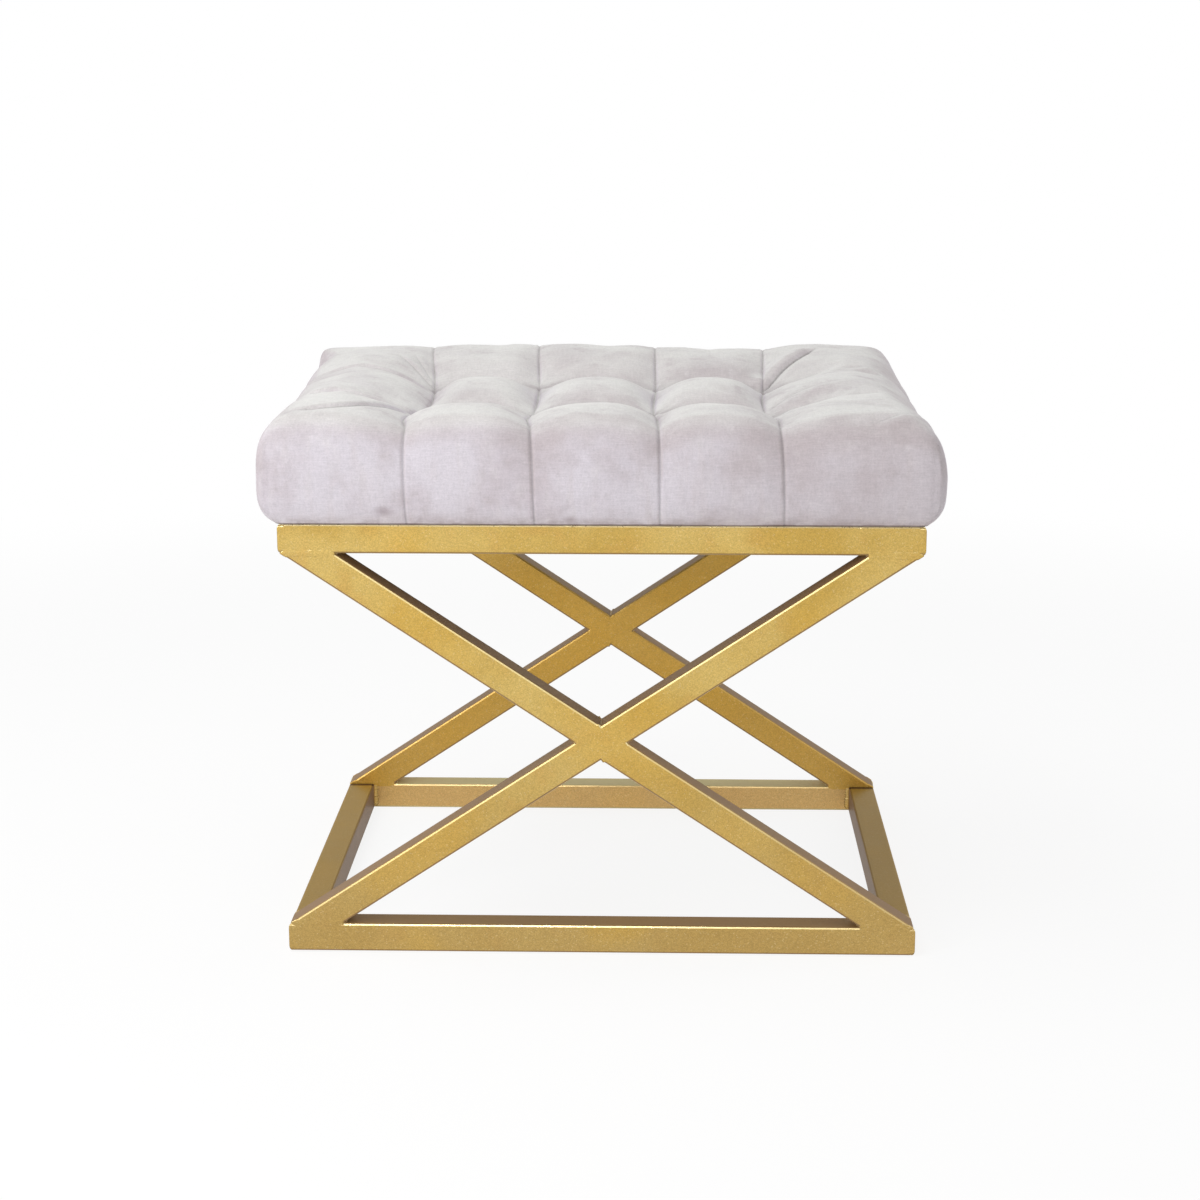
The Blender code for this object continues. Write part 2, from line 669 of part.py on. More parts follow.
def tuft_washer(name, material, place):
    """The washer that spreads a tie's pull over the underside of the board."""
    bottom = WASHER_TOP - WASHER_THICKNESS
    bore = (TWINE_DIAMETER + WASHER_BORE_CLEARANCE) / 2
    rim = WASHER_DIAMETER / 2
    bm = bmesh.new()
    loops = []
    for radius, z in ((rim, bottom), (rim, WASHER_TOP), (bore, WASHER_TOP), (bore, bottom)):
        loops.append(add_loop(bm, circle(radius, z, place, FASTENER_SIDES)))
    for number, loop in enumerate(loops):
        join_loops(bm, loop, loops[(number + 1) % len(loops)])
    return solid(name, bm, material)


def dust_cloth(material):
    """The cloth that closes the underside: flat round its edge, and hanging clear of the knots."""
    top = SEAT_UNDERSIDE - JOINT_GAP
    half_x = FRAME_WIDTH / 2 - TUBE_SIZE - CLOTH_CLEARANCE
    half_y = FRAME_DEPTH / 2 - TUBE_SIZE - CLOTH_CLEARANCE
    steps = ((0, top), (CLOTH_FLAT_EDGE, top), (CLOTH_FLAT_EDGE + CLOTH_SLOPE, CLOTH_LEVEL))
    bm = bmesh.new()
    sides = []
    for face in (0, CLOTH_THICKNESS):
        loops = []
        for inset, level in steps:
            outline = rounded_rectangle(half_x - inset, half_y - inset, CLOTH_CORNER, CORNER_STEPS)
            loops.append(add_loop(bm, [(p.x, p.y, level - face) for p in outline]))
        for first, second in zip(loops, loops[1:]):
            join_loops(bm, first, second)
        bm.faces.new(loops[-1])
        sides.append(loops[0])
    join_loops(bm, *sides)
    return solid("dust_cloth", bm, material)


def seat():
    """The seat: board, foam, wadding and cover, with the ties that pull the tufts down."""
    form = SeatForm()
    velvet = finish("velvet", (0.58, 0.52, 0.55), 0.85)
    foam = finish("foam", (0.80, 0.76, 0.60), 0.95)
    fleece = finish("fleece", (0.88, 0.88, 0.86), 0.95)
    plywood = finish("plywood", (0.62, 0.44, 0.26), 0.65)
    twine = finish("twine", (0.75, 0.70, 0.60), 0.80)
    black_cloth = finish("black_cloth", (0.02, 0.02, 0.02), 0.90)
    zinc = finish("zinc", (0.62, 0.63, 0.65), 0.35, 1.0)
    velvet_cover(form, velvet)
    wadding(form, fleece)
    foam_pad(form, foam)
    seat_board(form, plywood)
    dust_cloth(black_cloth)
    for number, place in enumerate(TUFTS, 1):
        tuft_tie(f"tuft_tie_{number}", form, twine, place)
        tuft_washer(f"tuft_washer_{number}", zinc, place)
    for number, place in enumerate(screw_places(), 1):
        seat_screw(f"seat_screw_{number}", zinc, place)


def main():
    clear_scene()
    frame(finish("gold_paint", (0.55, 0.36, 0.10), 0.38, 0.75))
    seat()


main()
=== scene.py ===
"""Looks of the tufted pouf: its velvet seat, painted steel frame, ground welds, under-cloth and staples.

Everything is in metres, +X along the width, the front facing -Y and +Z up, as in the construction model.
"""

import math

import bmesh
import bpy
import numpy as np
from mathutils import Matrix, Vector, noise


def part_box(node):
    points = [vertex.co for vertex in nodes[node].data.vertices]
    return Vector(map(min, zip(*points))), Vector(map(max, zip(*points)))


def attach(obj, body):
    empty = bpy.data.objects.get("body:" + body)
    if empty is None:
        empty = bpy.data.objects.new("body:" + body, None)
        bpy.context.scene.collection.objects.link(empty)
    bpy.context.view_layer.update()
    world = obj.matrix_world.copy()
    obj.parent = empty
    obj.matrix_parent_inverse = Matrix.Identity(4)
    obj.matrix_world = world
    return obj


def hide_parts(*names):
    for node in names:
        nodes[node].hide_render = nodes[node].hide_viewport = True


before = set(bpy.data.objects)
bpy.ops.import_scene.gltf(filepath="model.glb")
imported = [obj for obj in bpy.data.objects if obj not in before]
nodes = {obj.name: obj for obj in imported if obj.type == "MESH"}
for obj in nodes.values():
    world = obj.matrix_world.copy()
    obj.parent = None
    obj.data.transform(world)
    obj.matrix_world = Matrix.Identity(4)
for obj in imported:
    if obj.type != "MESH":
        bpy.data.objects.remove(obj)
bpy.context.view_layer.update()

MM = 0.001

# The frame's sizes, read from the construction model
RAIL_LOW, RAIL_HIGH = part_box("front_top_rail")
TUBE = RAIL_HIGH.z - RAIL_LOW.z
FRAME_FRONT = RAIL_LOW.y
FRAME_TOP = RAIL_HIGH.z
FRAME_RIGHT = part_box("front_top_right_cap")[1].x

# Where the side rails meet the rear X panel. They meet the front one as far in front of the middle.
SIDE_JOINT = -FRAME_FRONT - TUBE

# The seat's outer sizes
SEAT_LOW, SEAT_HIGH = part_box("velvet_cover")
SEAT_HALF = (SEAT_HIGH.x, SEAT_HIGH.y)
SEAT_BOTTOM = SEAT_LOW.z
BULGE_LEVEL = FRAME_TOP + 37 * MM
SHOULDER = 38 * MM
SHOULDER_ARC = 1.6
UNDERCUT = 12 * MM
CORNER_RADIUS = 10 * MM
CORNER_SEAM_TURN = math.radians(66)
UNDERCUT_FULLNESS = 4.0

# Where the seat has its lengthwise seams and its two rows of tufts
SEAMS = (-145 * MM, -52 * MM, 41 * MM, 131 * MM)
ROWS = (-66.7 * MM, 66.7 * MM)
TUFTS = [(x, y) for y in ROWS for x in SEAMS]

# Two faint marks low on the front, as (place along the width, level, radius)
SMUDGES = ((-160 * MM, 342 * MM, 9 * MM), (-23 * MM, 335 * MM, 8 * MM))

# Cells of metal flake, and of the brighter flecks, in a metre of paint
FLAKES = 1500.0
FLECKS = 1300.0

# Threads in a metre of velvet, and thick places in a metre of thread
THREADS = 620.0
SLUBS = 130.0

# Sockets of a Mix node that mixes colours
MIX_SHARE, MIX_FIRST_COLOUR, MIX_SECOND_COLOUR, MIX_COLOUR = 0, 6, 7, 2


class Tone:
    """A value, colour or direction inside a finish. Arithmetic on values adds Math nodes."""

    def __init__(self, finish, socket):
        self.finish = finish
        self.socket = socket

    def math(self, operation, *values):
        return self.finish.node("ShaderNodeMath", {"operation": operation}, dict(enumerate(values)))

    def __add__(self, other):
        return self.math("ADD", self, other)

    def __sub__(self, other):
        return self.math("SUBTRACT", self, other)

    def __mul__(self, other):
        return self.math("MULTIPLY", self, other)

    def __pow__(self, other):
        return self.math("POWER", self, other)

    def __radd__(self, other):
        return self.math("ADD", other, self)

    def __rsub__(self, other):
        return self.math("SUBTRACT", other, self)

    def __rmul__(self, other):
        return self.math("MULTIPLY", other, self)

    def size(self):
        return self.math("ABSOLUTE", self)

    def ramp(self, low, high):
        """0 where this value is at low, 1 where it is at high, with a soft start and end."""
        settings = {"interpolation_type": "SMOOTHSTEP"}
        inputs = {"Value": self, "From Min": low, "From Max": high}
        if high > low:
            return self.finish.node("ShaderNodeMapRange", settings, inputs)
        inputs = {"Value": self, "From Min": high, "From Max": low, "To Min": 1.0, "To Max": 0.0}
        return self.finish.node("ShaderNodeMapRange", settings, inputs)


class Finish:
    """A material under construction."""

    def __init__(self, name, kept_in="materials"):
        self.material = getattr(bpy.data, kept_in).new(name)
        self.material.use_nodes = True
        self.tree = self.material.node_tree
        self.tree.nodes.clear()

    def node(self, kind, settings=None, inputs=None, output=0):
        """Adds a node, sets it up, feeds its sockets with values or links and gives one of its outputs."""
        node = self.tree.nodes.new(kind)
        for name, value in (settings or {}).items():
            setattr(node, name, value)
        for name, value in (inputs or {}).items():
            if isinstance(value, Tone):
                self.tree.links.new(value.socket, node.inputs[name])
            else:
                node.inputs[name].default_value = value
        return Tone(self, node.outputs[output]) if node.outputs else None

    def place(self):
        return self.node("ShaderNodeTexCoord", output="Object")

    def facing(self):
        """The three components of the way that the surface faces."""
        return self.parts(self.node("ShaderNodeNewGeometry", output="Normal"))

    def kept(self, name, output="Fac"):
        """What the mesh keeps under a name at each of its points."""
        return self.node("ShaderNodeAttribute", {"attribute_name": name}, None, output)

    def parts(self, vector):
        """The three components of a vector."""
        split = self.node("ShaderNodeSeparateXYZ", None, {"Vector": vector}).socket.node
        return [Tone(self, output) for output in split.outputs]

    def join(self, x, y, z):
        return self.node("ShaderNodeCombineXYZ", None, {"X": x, "Y": y, "Z": z})

    def noise(self, vector, scale, detail=3.0, roughness=0.55, distortion=0.0):
        inputs = {"Vector": vector, "Scale": scale, "Detail": detail, "Roughness": roughness}
        return self.node("ShaderNodeTexNoise", None, {**inputs, "Distortion": distortion})

    def speckle(self, vector, scale):
        """A random value for each small cell of the surface."""
        colour = self.node("ShaderNodeTexVoronoi", None, {"Vector": vector, "Scale": scale}, "Color")
        return self.parts(colour)[0]

    def blend(self, first, second, share, way="MIX"):
        """A mix of two colours."""
        inputs = {MIX_SHARE: share, MIX_FIRST_COLOUR: first, MIX_SECOND_COLOUR: second}
        settings = {"data_type": "RGBA", "blend_type": way, "clamp_factor": True}
        return self.node("ShaderNodeMix", settings, inputs, MIX_COLOUR)

    def over(self, colour, *layers):
        """A colour with others laid over it in turn, each given as (colour, share)."""
        for other, share in layers:
            colour = self.blend(colour, other, share)
        return colour

    def tint(self, colour, strength):
        """A colour made lighter or darker by a value around 1."""
        colour = colour if isinstance(colour, Tone) else colour[:3]
        inputs = {"Vector": colour, "Scale": strength}
        return self.node("ShaderNodeVectorMath", {"operation": "SCALE"}, inputs)

    def bump(self, height, distance, strength=1.0, normal=None):
        inputs = {"Height": height, "Distance": distance, "Strength": strength}
        if normal:
            inputs["Normal"] = normal
        return self.node("ShaderNodeBump", None, inputs)

    def shade(self, **inputs):
        named = {name.replace("_", " "): value for name, value in inputs.items()}
        return self.node("ShaderNodeBsdfPrincipled", None, named)

    def show(self, shader, output="ShaderNodeOutputMaterial"):
        self.node(output, None, {"Surface": shader})
        return self.material


def rgb(red, green, blue):
    """A colour given as it shows on screen, each part from 0 to 255."""
    parts = [((c / 255 + 0.055) / 1.055) ** 2.4 for c in (red, green, blue)]
    return (*parts, 1.0)


def gold_paint(name, top_painted_light_colour, top_painted_light_share, inner_shade_share=0.0, painted_light_tone=None, painted_light_tone_share=0.0, edge_highlight_strength=0.55):
    """Sprayed gold paint with metal flake, drawn where asked towards a second colour of painted light.
    Upper edges get a painted highlight, weaker lower down, and lower parts a painted shade. Faces that look
    up and lower edges show a matt painted shade and reflection, as do, where asked, faces that look
    inwards."""
    finish = Finish(name)
    place = finish.place()
    x, y, z = finish.parts(place)
    out_x, _, up = finish.facing()
    clouds = finish.noise(place, 14.0, 3.0)
    patches = finish.noise(place, 45.0, 2.0)
    flake = finish.speckle(place, FLAKES)
    fleck = finish.speckle(place, FLECKS)
    wear = finish.noise(place, 9.0, 2.0)
    # Painted highlight along the upper edges
    painted_edge_highlight = up.ramp(0.12, 0.3) * up.ramp(0.62, 0.5) * edge_highlight_strength
    gold = finish.over(
        finish.blend(rgb(206, 176, 100), rgb(192, 158, 76), clouds.ramp(0.35, 0.68)),
        (rgb(200, 160, 84), patches.ramp(0.5, 0.75) * 0.5),
        # Painted shade: darker towards the bottom
        (rgb(176, 145, 86), z.ramp(0.22, 0.0) * 0.7),
        (rgb(208, 164, 62), wear.ramp(0.48, 0.66) * 0.35),
    )
    # A second colour of painted light: painted shade on the rear braces, painted reflection on the rear
    # rails
    if painted_light_tone:
        gold = finish.blend(gold, painted_light_tone, painted_light_tone_share)
    gold = finish.over(
        finish.tint(gold, 0.86 + flake * 0.28),
        (rgb(240, 222, 170), fleck.ramp(0.95, 0.985) * 0.25),
        # The painted highlight on the upper edges, weaker lower down
        (rgb(255, 238, 182), painted_edge_highlight * (z.ramp(0.02, 0.26) * 0.5 + 0.5)),
    )
    peel = finish.noise(place, 420.0, 2.0)
    relief = finish.bump(peel, 0.25 * MM, 0.18)
    relief = finish.bump(flake, 0.05 * MM, 0.35, relief)
    paint = finish.shade(
        Base_Color=gold,
        Metallic=0.82 - flake * 0.1,
        Roughness=0.36 + clouds * 0.1 - fleck.ramp(0.9, 1.0) * 0.12 - painted_edge_highlight * 0.1,
        Coat_Weight=0.25,
        Coat_Roughness=0.18,
        Normal=relief,
    )
    # Painted shade and reflection in a matt colour of its own, on faces that look up and on lower edges
    ground = finish.tint(top_painted_light_colour, 0.85 + clouds * 0.3)
    painted_under_edge_shade = up.ramp(-0.12, -0.3) * up.ramp(-0.6, -0.45)
    painted_light_share = up.ramp(0.70, 0.80) * top_painted_light_share + painted_under_edge_shade * 0.8
    if inner_shade_share:
        # Painted shade on faces that look inwards, and a painted shadow in the joint where the side rails
        # meet the rear panel
        inward = (x * out_x).ramp(-0.05, -0.15)
        painted_joint_shadow = y.ramp(SIDE_JOINT - 7 * MM, SIDE_JOINT - 4 * MM) * up.ramp(0.8, 0.9)
        ground = finish.blend(ground, rgb(108, 88, 84), inward)
        ground = finish.blend(ground, rgb(52, 36, 24), painted_joint_shadow)
        painted_light_share = painted_light_share.math("MINIMUM", painted_light_share + inward * inner_shade_share + painted_joint_shadow * 0.2, 1.0)
    painted_light_shader = finish.shade(Base_Color=ground, Roughness=0.62, Specular_IOR_Level=0.12, Normal=relief)
    shader = finish.node("ShaderNodeMixShader", None, {0: painted_light_share, 1: paint, 2: painted_light_shader})
    return finish.show(shader)


def velvet_weave(finish, place, cloth):
    """The threads of the weave with the fuzz of the pile over them, as a value around a half."""
    across, along, level = cloth
    warp = finish.noise(finish.join(across * THREADS, along * SLUBS, level * SLUBS), 1.0, 3.0)
    weft = finish.noise(finish.join(across * SLUBS, along * THREADS, level * THREADS), 1.0, 3.0)
    pile = finish.noise(place, 900.0, 3.0)
    return warp * 0.27 + weft * 0.33 + pile * 0.4


def velvet_nap(finish, cloth, facing, patches, marks):
    """The velvet's colour by the way it faces, with painted light: painted shade makes slopes that lean to
    the front and the shoulders browner and darker, more so on the right, where the front is shaded too,
    painted sheen makes the top lighter and greener, and upright faces keep the plain lilac. Hands left
    cloudy marks."""
    across, along, level = cloth
    lean_x, lean_y, up = facing
    streaks = finish.noise(finish.join(across * 90.0, along * 12.0, level * 12.0), 1.0, 3.0)
    top = finish.blend(rgb(223, 222, 219), rgb(211, 208, 207), patches.ramp(0.4, 0.68))
    cloud = (patches - 0.5) * 0.3
    front_lean = 0.0 - lean_y
    # Painted shade on slopes that lean to the front and on the shoulders
    slope = front_lean.ramp(0.06, 0.32) * up.ramp(0.3, 0.8) * 0.75
    end_tilt = lean_x.size() * across.size().ramp(0.18, 0.22)
    tilt = end_tilt.math("MAXIMUM", lean_y.size(), end_tilt)
    shoulder = (tilt + cloud).ramp(0.2, 0.75) * (tilt - cloud).ramp(1.03, 0.82) * up.ramp(-0.12, 0.12)
    painted_mauve_shade = slope.math("MAXIMUM", slope, shoulder) * (0.1 + patches * 1.3)
    # Painted shade on the right-hand part of the front
    painted_right_shade = (across + cloud * 0.3).ramp(-0.03, 0.22) * front_lean.ramp(0.3, 0.7)
    dark = marks.ramp(0.5, 0.74) * patches.ramp(0.4, 0.6)
    light = marks.ramp(0.54, 0.3) * streaks.ramp(0.4, 0.65)
    return finish.over(
        finish.blend(rgb(211, 205, 212), rgb(198, 189, 195), patches.ramp(0.42, 0.66)),
        (rgb(202, 193, 197), streaks.ramp(0.48, 0.75) * 0.5),
        # Painted sheen on the top, then painted shade on slopes, shoulders and the right-hand front
        (top, (up + cloud).ramp(0.5, 0.97)),
        (rgb(188, 178, 180), painted_mauve_shade * (across.ramp(-0.2, 0.1) * 0.25 + 0.6)),
        (rgb(186, 176, 177), painted_right_shade * 0.45),
        (rgb(186, 176, 179), dark * 0.6),
        (rgb(228, 225, 226), light * 0.22),
    )


def velvet_low_marks_and_shadow(finish, colour, cloth, front_lean, marks):
    """Grey patches along the bottom edge, two smudges on the front and a painted shadow: a dark line along
    the very bottom of the cover.
    """
    across, _, level = cloth
    above = level - SEAT_BOTTOM
    hem = above.ramp(9 * MM, 1 * MM) * marks.ramp(0.4, 0.62)
    colour = finish.blend(colour, rgb(158, 146, 150), hem * 0.45)
    for spot_x, spot_z, spread in SMUDGES:
        aside, higher = across - spot_x, level - spot_z
        off = (aside * aside + higher * higher * 2.0) ** 0.5
        smudge = (off + (marks - 0.5) * spread).ramp(spread, 0.0) * front_lean.ramp(0.5, 0.8)
        colour = finish.blend(colour, rgb(172, 160, 166), smudge * 0.85)
    # Painted shadow along the very bottom of the cover
    painted_contact_shadow = above.ramp(1.7 * MM, 0.7 * MM) * (0.55 + marks * 0.8)
    return finish.blend(colour, rgb(92, 74, 66), painted_contact_shadow * 0.8)


def velvet():
    """Pale lilac velvet with painted shade in its seams, along its rows of tufts and in and beside its
    creases.
    """
    finish = Finish("seat_velvet")
    place = finish.place()
    facing = finish.facing()
    cloth = finish.parts(finish.kept("cloth", "Vector"))
    patches = finish.noise(place, 17.0, 3.0)
    marks = finish.noise(place, 55.0, 3.0, 0.65)
    weave = velvet_weave(finish, place, cloth)
    colour = velvet_nap(finish, cloth, facing, patches, marks)
    colour = velvet_low_marks_and_shadow(finish, colour, cloth, 0.0 - facing[1], marks)
    seam = finish.kept("seam_distance").ramp(1.2, 0.2)
    row = finish.kept("row_distance").ramp(16.0, 0.0)
    fold, fold_depth = finish.kept("fold_distance"), finish.kept("fold_depth")
    crease = fold.size().ramp(1.5, 0.0) * fold_depth
    beside = fold.ramp(-9.0, 0.0) * fold.ramp(0.6, 0.0) * fold_depth
    threads = 0.62 + weave * 0.76
    # Painted shade in the seams, along the rows of tufts, in the creases and beside them
    painted_crease_shade = (1.0 - seam * 0.2) * (1.0 - row * 0.14) * (1.0 - crease * 0.32) * (1.0 - beside * 0.1)
    relief = finish.bump(weave - crease * 2.0, 0.3 * MM, 0.35)
    shader = finish.shade(
        Base_Color=finish.tint(colour, threads * painted_crease_shade),
        Roughness=0.86 + patches * 0.1,
        Specular_IOR_Level=0.15,
        Sheen_Weight=0.3,
        Sheen_Roughness=0.4,
        Sheen_Tint=(1.0, 0.99, 0.98, 1.0),
        Normal=relief,
    )
    return finish.show(shader)


def plain_fabric(name, light, dark, scale, depth):
    """A matt soft material with a fine tangled surface."""
    finish = Finish(name)
    place = finish.place()
    tangle = finish.noise(place, scale, 4.0, 0.6, 0.4)
    clumps = finish.noise(place, scale / 9, 3.0)
    colour = finish.blend(light, dark, tangle.ramp(0.35, 0.7) * 0.7 + clumps.ramp(0.4, 0.7) * 0.3)
    relief = finish.bump(tangle, depth, 0.6)
    shader = finish.shade(Base_Color=colour, Roughness=0.9, Specular_IOR_Level=0.2, Normal=relief)
    return finish.show(shader)


def plywood():
    """Birch plywood: grain along its faces and dark lines between the plies on its edges."""
    finish = Finish("seat_board_plywood")
    x, y, z = finish.parts(finish.place())
    grain = finish.noise(finish.join(x * 9.0, y * 160.0, z * 900.0), 1.0, 4.0, 0.6, 0.3)
    plies = finish.noise(finish.join(x * 2.0, y * 2.0, z * 700.0), 1.0, 1.0)
    colour = finish.blend(rgb(214, 184, 140), rgb(170, 128, 84), grain.ramp(0.35, 0.7))
    colour = finish.blend(colour, rgb(128, 92, 60), plies.ramp(0.55, 0.7) * 0.5)
    relief = finish.bump(grain, 0.15 * MM, 0.4)
    return finish.show(finish.shade(Base_Color=colour, Roughness=0.6, Normal=relief))


def zinc():
    """Bright zinc plating with a faint spangle and a few dull spots."""
    finish = Finish("bright_zinc")
    place = finish.place()
    spangle = finish.speckle(place, 900.0)
    stain = finish.noise(place, 200.0, 3.0)
    colour = finish.blend(rgb(205, 207, 210), rgb(160, 162, 168), spangle * 0.6 + stain * 0.3)
    relief = finish.bump(stain, 0.05 * MM, 0.4)
    shader = finish.shade(Base_Color=colour, Metallic=1.0, Roughness=0.28 + stain * 0.2, Normal=relief)
    return finish.show(shader)


def keep_finish(material, *names):
    """Gives a construction node its finish."""
    for name in names:
        node = nodes[name]
        node.data.materials.clear()
        node.data.materials.append(material)


def piece(name, bm, material):
    """A new piece of the pouf from a bmesh."""
    bmesh.ops.recalc_face_normals(bm, faces=bm.faces)
    mesh = bpy.data.meshes.new(name)
    bm.to_mesh(mesh)
    bm.free()
    mesh.shade_smooth()
    mesh.materials.append(material)
    obj = bpy.data.objects.new(name, mesh)
    bpy.context.scene.collection.objects.link(obj)
    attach(obj, "root")
    return obj


# The seat. Its smooth form comes first, then the pull of seams and tufts, then the swelling of the panels,
# and last the sharp folds and small wrinkles. Its tables hold pairs in millimetres, as (place, value).

# Level of the seat's crown from front to back, and the even level that the cloth is measured from
CROWN = (
    *((-165, 410.5), (-150, 411.7), (-100, 411.7), (-67, 411.5), (0, 411.3)),
    *((67, 412.0), (100, 414.2), (130, 416.2), (150, 417.4), (165, 417.5)),
)
CROWN_LEVEL = 412 * MM

# Depth of the lengthwise seams, by the way along the cloth from the front bottom edge over the top to the
# rear bottom edge, and depth of the two cross rows, by the distance from the middle of the seat
SEAM_DEPTH = (
    *((-272, 0.5), (-245, 2.0), (-215, 4.5), (-190, 8.0), (-165, 12.0), (-150, 13.0)),
    *((-130, 14.2), (-100, 16.3), (-67, 17.0), (0, 18.5), (67, 17.5), (100, 14.5)),
    *((130, 9.5), (165, 4.8), (200, 3.0), (250, 1.5), (272, 0.5)),
)
ROW_DEPTH = ((0, 14.5), (150, 13.0), (180, 6.5), (215, 2.0), (260, 0.5), (300, 0.0))
ROW_SHADE_END = 148 * MM
STITCH_PITCH = 5.2 * MM
TUFT_PIT = 1.5 * MM
TUFT_REACH = 5.0 * MM
PANEL_EDGE = 62 * MM
OUTER_ROW_REACH = 88 * MM
SEAM_SOFTNESS = 2.8
ROW_SOFTNESS = 2.3

# How square the seat's shoulder is, from rounded (2) to boxy: each row is a line across the seat, the front
# one first, read at its left end, middle and right end
SHOULDER_FULLNESS = ((2.2, 2.5, 2.3), (5.8, 2.5, 3.0), (13.0, 2.6, 6.0))

# How far the top of the right-hand end leans in, at its front, middle and rear
END_LEAN = (3 * MM, 7 * MM, 11 * MM)

# Spacing of the seat's grid, and how far from each seam and row its nearest grid lines lie
GRID_STEP = 3.7 * MM
BESIDE_SEAM = (1.6 * MM, 4.0 * MM)
BESIDE_ROW = (2.0 * MM, 5.0 * MM)


def grid_lines(seams, edge, close, step):
    """Grid lines from edge to edge: each seam has lines close beside it, and the rest are a step apart."""
    beside = [s + side * c for s in seams for side in (-1, 1) for c in close]
    fixed = sorted({-edge, edge, *seams, *beside})
    lines = []
    for left, right in zip(fixed, fixed[1:]):
        count = max(1, round((right - left) / step))
        lines += [left + (right - left) * k / count for k in range(count)]
    return lines + [edge]


class SeatForm:
    """The smooth seat: a grid on top and rings of points round its sides."""

    def __init__(self, step):
        self.edge = [half - SHOULDER for half in SEAT_HALF]
        self.xs = grid_lines(SEAMS, self.edge[0], BESIDE_SEAM, step)
        self.ys = grid_lines(ROWS, self.edge[1], BESIDE_ROW, step)
        self.bm = bmesh.new()
        self.verts = []
        self.top = {}
        for i, x in enumerate(self.xs):
            for j, y in enumerate(self.ys):
                self.top[i, j] = self.add(x, y, crown(y))
        last_x, last_y = len(self.xs) - 1, len(self.ys) - 1
        for i in range(last_x):
            for j in range(last_y):
                corners = [(i, j), (i + 1, j), (i + 1, j + 1), (i, j + 1)]
                self.bm.faces.new([self.top[key] for key in corners])
        front = [(i, 0) for i in range(last_x)]
        right = [(last_x, j) for j in range(last_y)]
        back = [(last_x - i, last_y) for i in range(last_x)]
        left = [(0, last_y - j) for j in range(last_y)]
        self.rim = front + right + back + left
        self.add_sides(step)

    def add(self, x, y, z):
        vert = self.bm.verts.new((x, y, z))
        self.verts.append(vert)
        return vert

    def ring_point(self, node, inset, up=0.0):
        """A rim node moved out to the outline that lies this far inside the widest one. The places beyond
        the outer seams and rows are spread to reach it, and its corners are round."""
        here = [self.xs[node[0]], self.ys[node[1]]]
        half = [h - inset for h in SEAT_HALF]
        if here[0] > 0:
            half[0] -= up * np.interp(here[1] / SEAT_HALF[1] + 1, (0, 1, 2), END_LEAN)
        for axis, last in enumerate((abs(SEAMS[0]), ROWS[1])):
            past = abs(here[axis]) - last
            if past > 0:
                spread = past * (half[axis] - last) / (self.edge[axis] - last)
                here[axis] = math.copysign(last + spread, here[axis])
        run = 1 if node[0] in (0, len(self.xs) - 1) else 0
        radius = CORNER_RADIUS * max(0.0, 1 - inset / SHOULDER)
        past = abs(here[run]) - half[run] + radius
        if radius and past > 0:
            turn = past / radius * math.pi / 4
            for axis, share in ((run, math.sin(turn)), (1 - run, math.cos(turn))):
                here[axis] = math.copysign(half[axis] - radius + radius * share, here[axis])
        return here

    def add_sides(self, step):
        starts = above = [self.top[key] for key in self.rim]
        rings = round(SHOULDER * SHOULDER_ARC / step)
        for number in range(1, rings + 1):
            angle = math.pi / 2 * (1 - number / rings)
            ring = []
            for node, start in zip(self.rim, starts):
                power = 2 / shoulder_fullness(start.co.x, start.co.y)
                out, up = math.cos(angle) ** power, math.sin(angle) ** power
                x, y = self.ring_point(node, SHOULDER * (1 - out), up)
                ring.append(self.add(x, y, BULGE_LEVEL + (start.co.z - BULGE_LEVEL) * up))
            above = self.join(above, ring)
        rings = round((BULGE_LEVEL - SEAT_BOTTOM) / step)
        for number in range(1, rings + 1):
            below = number / rings
            inset = UNDERCUT * below**UNDERCUT_FULLNESS
            level = BULGE_LEVEL + (SEAT_BOTTOM - BULGE_LEVEL) * below
            ring = [self.add(*self.ring_point(node, inset), level) for node in self.rim]
            above = self.join(above, ring)

    def join(self, above, below):
        count = len(above)
        for k in range(count):
            after = (k + 1) % count
            self.bm.faces.new((above[k], below[k], below[after], above[after]))
        return below


def crown(y):
    """The level of the seat's top before anything pulls it down."""
    return smooth_table(np.array([y]), CROWN)[0]


def in_metres(table):
    """The places and the values of a table, as two arrays."""
    return np.array(table, float).T * MM


def smooth_table(places, table):
    """A smooth line through the values of a table, read at many places."""
    stations, values = in_metres(table)
    slopes = np.gradient(values, stations)
    places = np.clip(places, stations[0], stations[-1])
    k = np.clip(np.searchsorted(stations, places) - 1, 0, len(stations) - 2)
    width = stations[k + 1] - stations[k]
    t = (places - stations[k]) / width
    start = values[k] * (1 + 2 * t) * (1 - t) ** 2 + slopes[k] * width * t * (1 - t) ** 2
    end = values[k + 1] * t * t * (3 - 2 * t) - slopes[k + 1] * width * t * t * (1 - t)
    return start + end


def eased(share):
    """A share from 0 to 1 with a soft start and end."""
    return share * share * (3 - 2 * share)


def shoulder_fullness(x, y):
    """How square the shoulder is beside a place on the rim."""
    across = x / SEAT_HALF[0] + 1
    lines = [np.interp(across, (0, 1, 2), line) for line in SHOULDER_FULLNESS]
    return float(np.interp(y / SEAT_HALF[1] + 1, (0, 1, 2), lines))


def way_along(p, z, axis):
    """How far along the cloth a point lies, from the middle over the shoulder and down the side."""
    on_side = np.abs(p) > SEAT_HALF[axis] - SHOULDER - 1 * MM
    return np.sign(p) * (np.abs(p) + np.where(on_side, np.maximum(0, CROWN_LEVEL - z), 0))


def valley(distance, reach, softness):
    """1 on a line that is drawn in, and 0 where its pull ends."""
    return np.clip(1 - distance / reach, 0, 1) ** softness


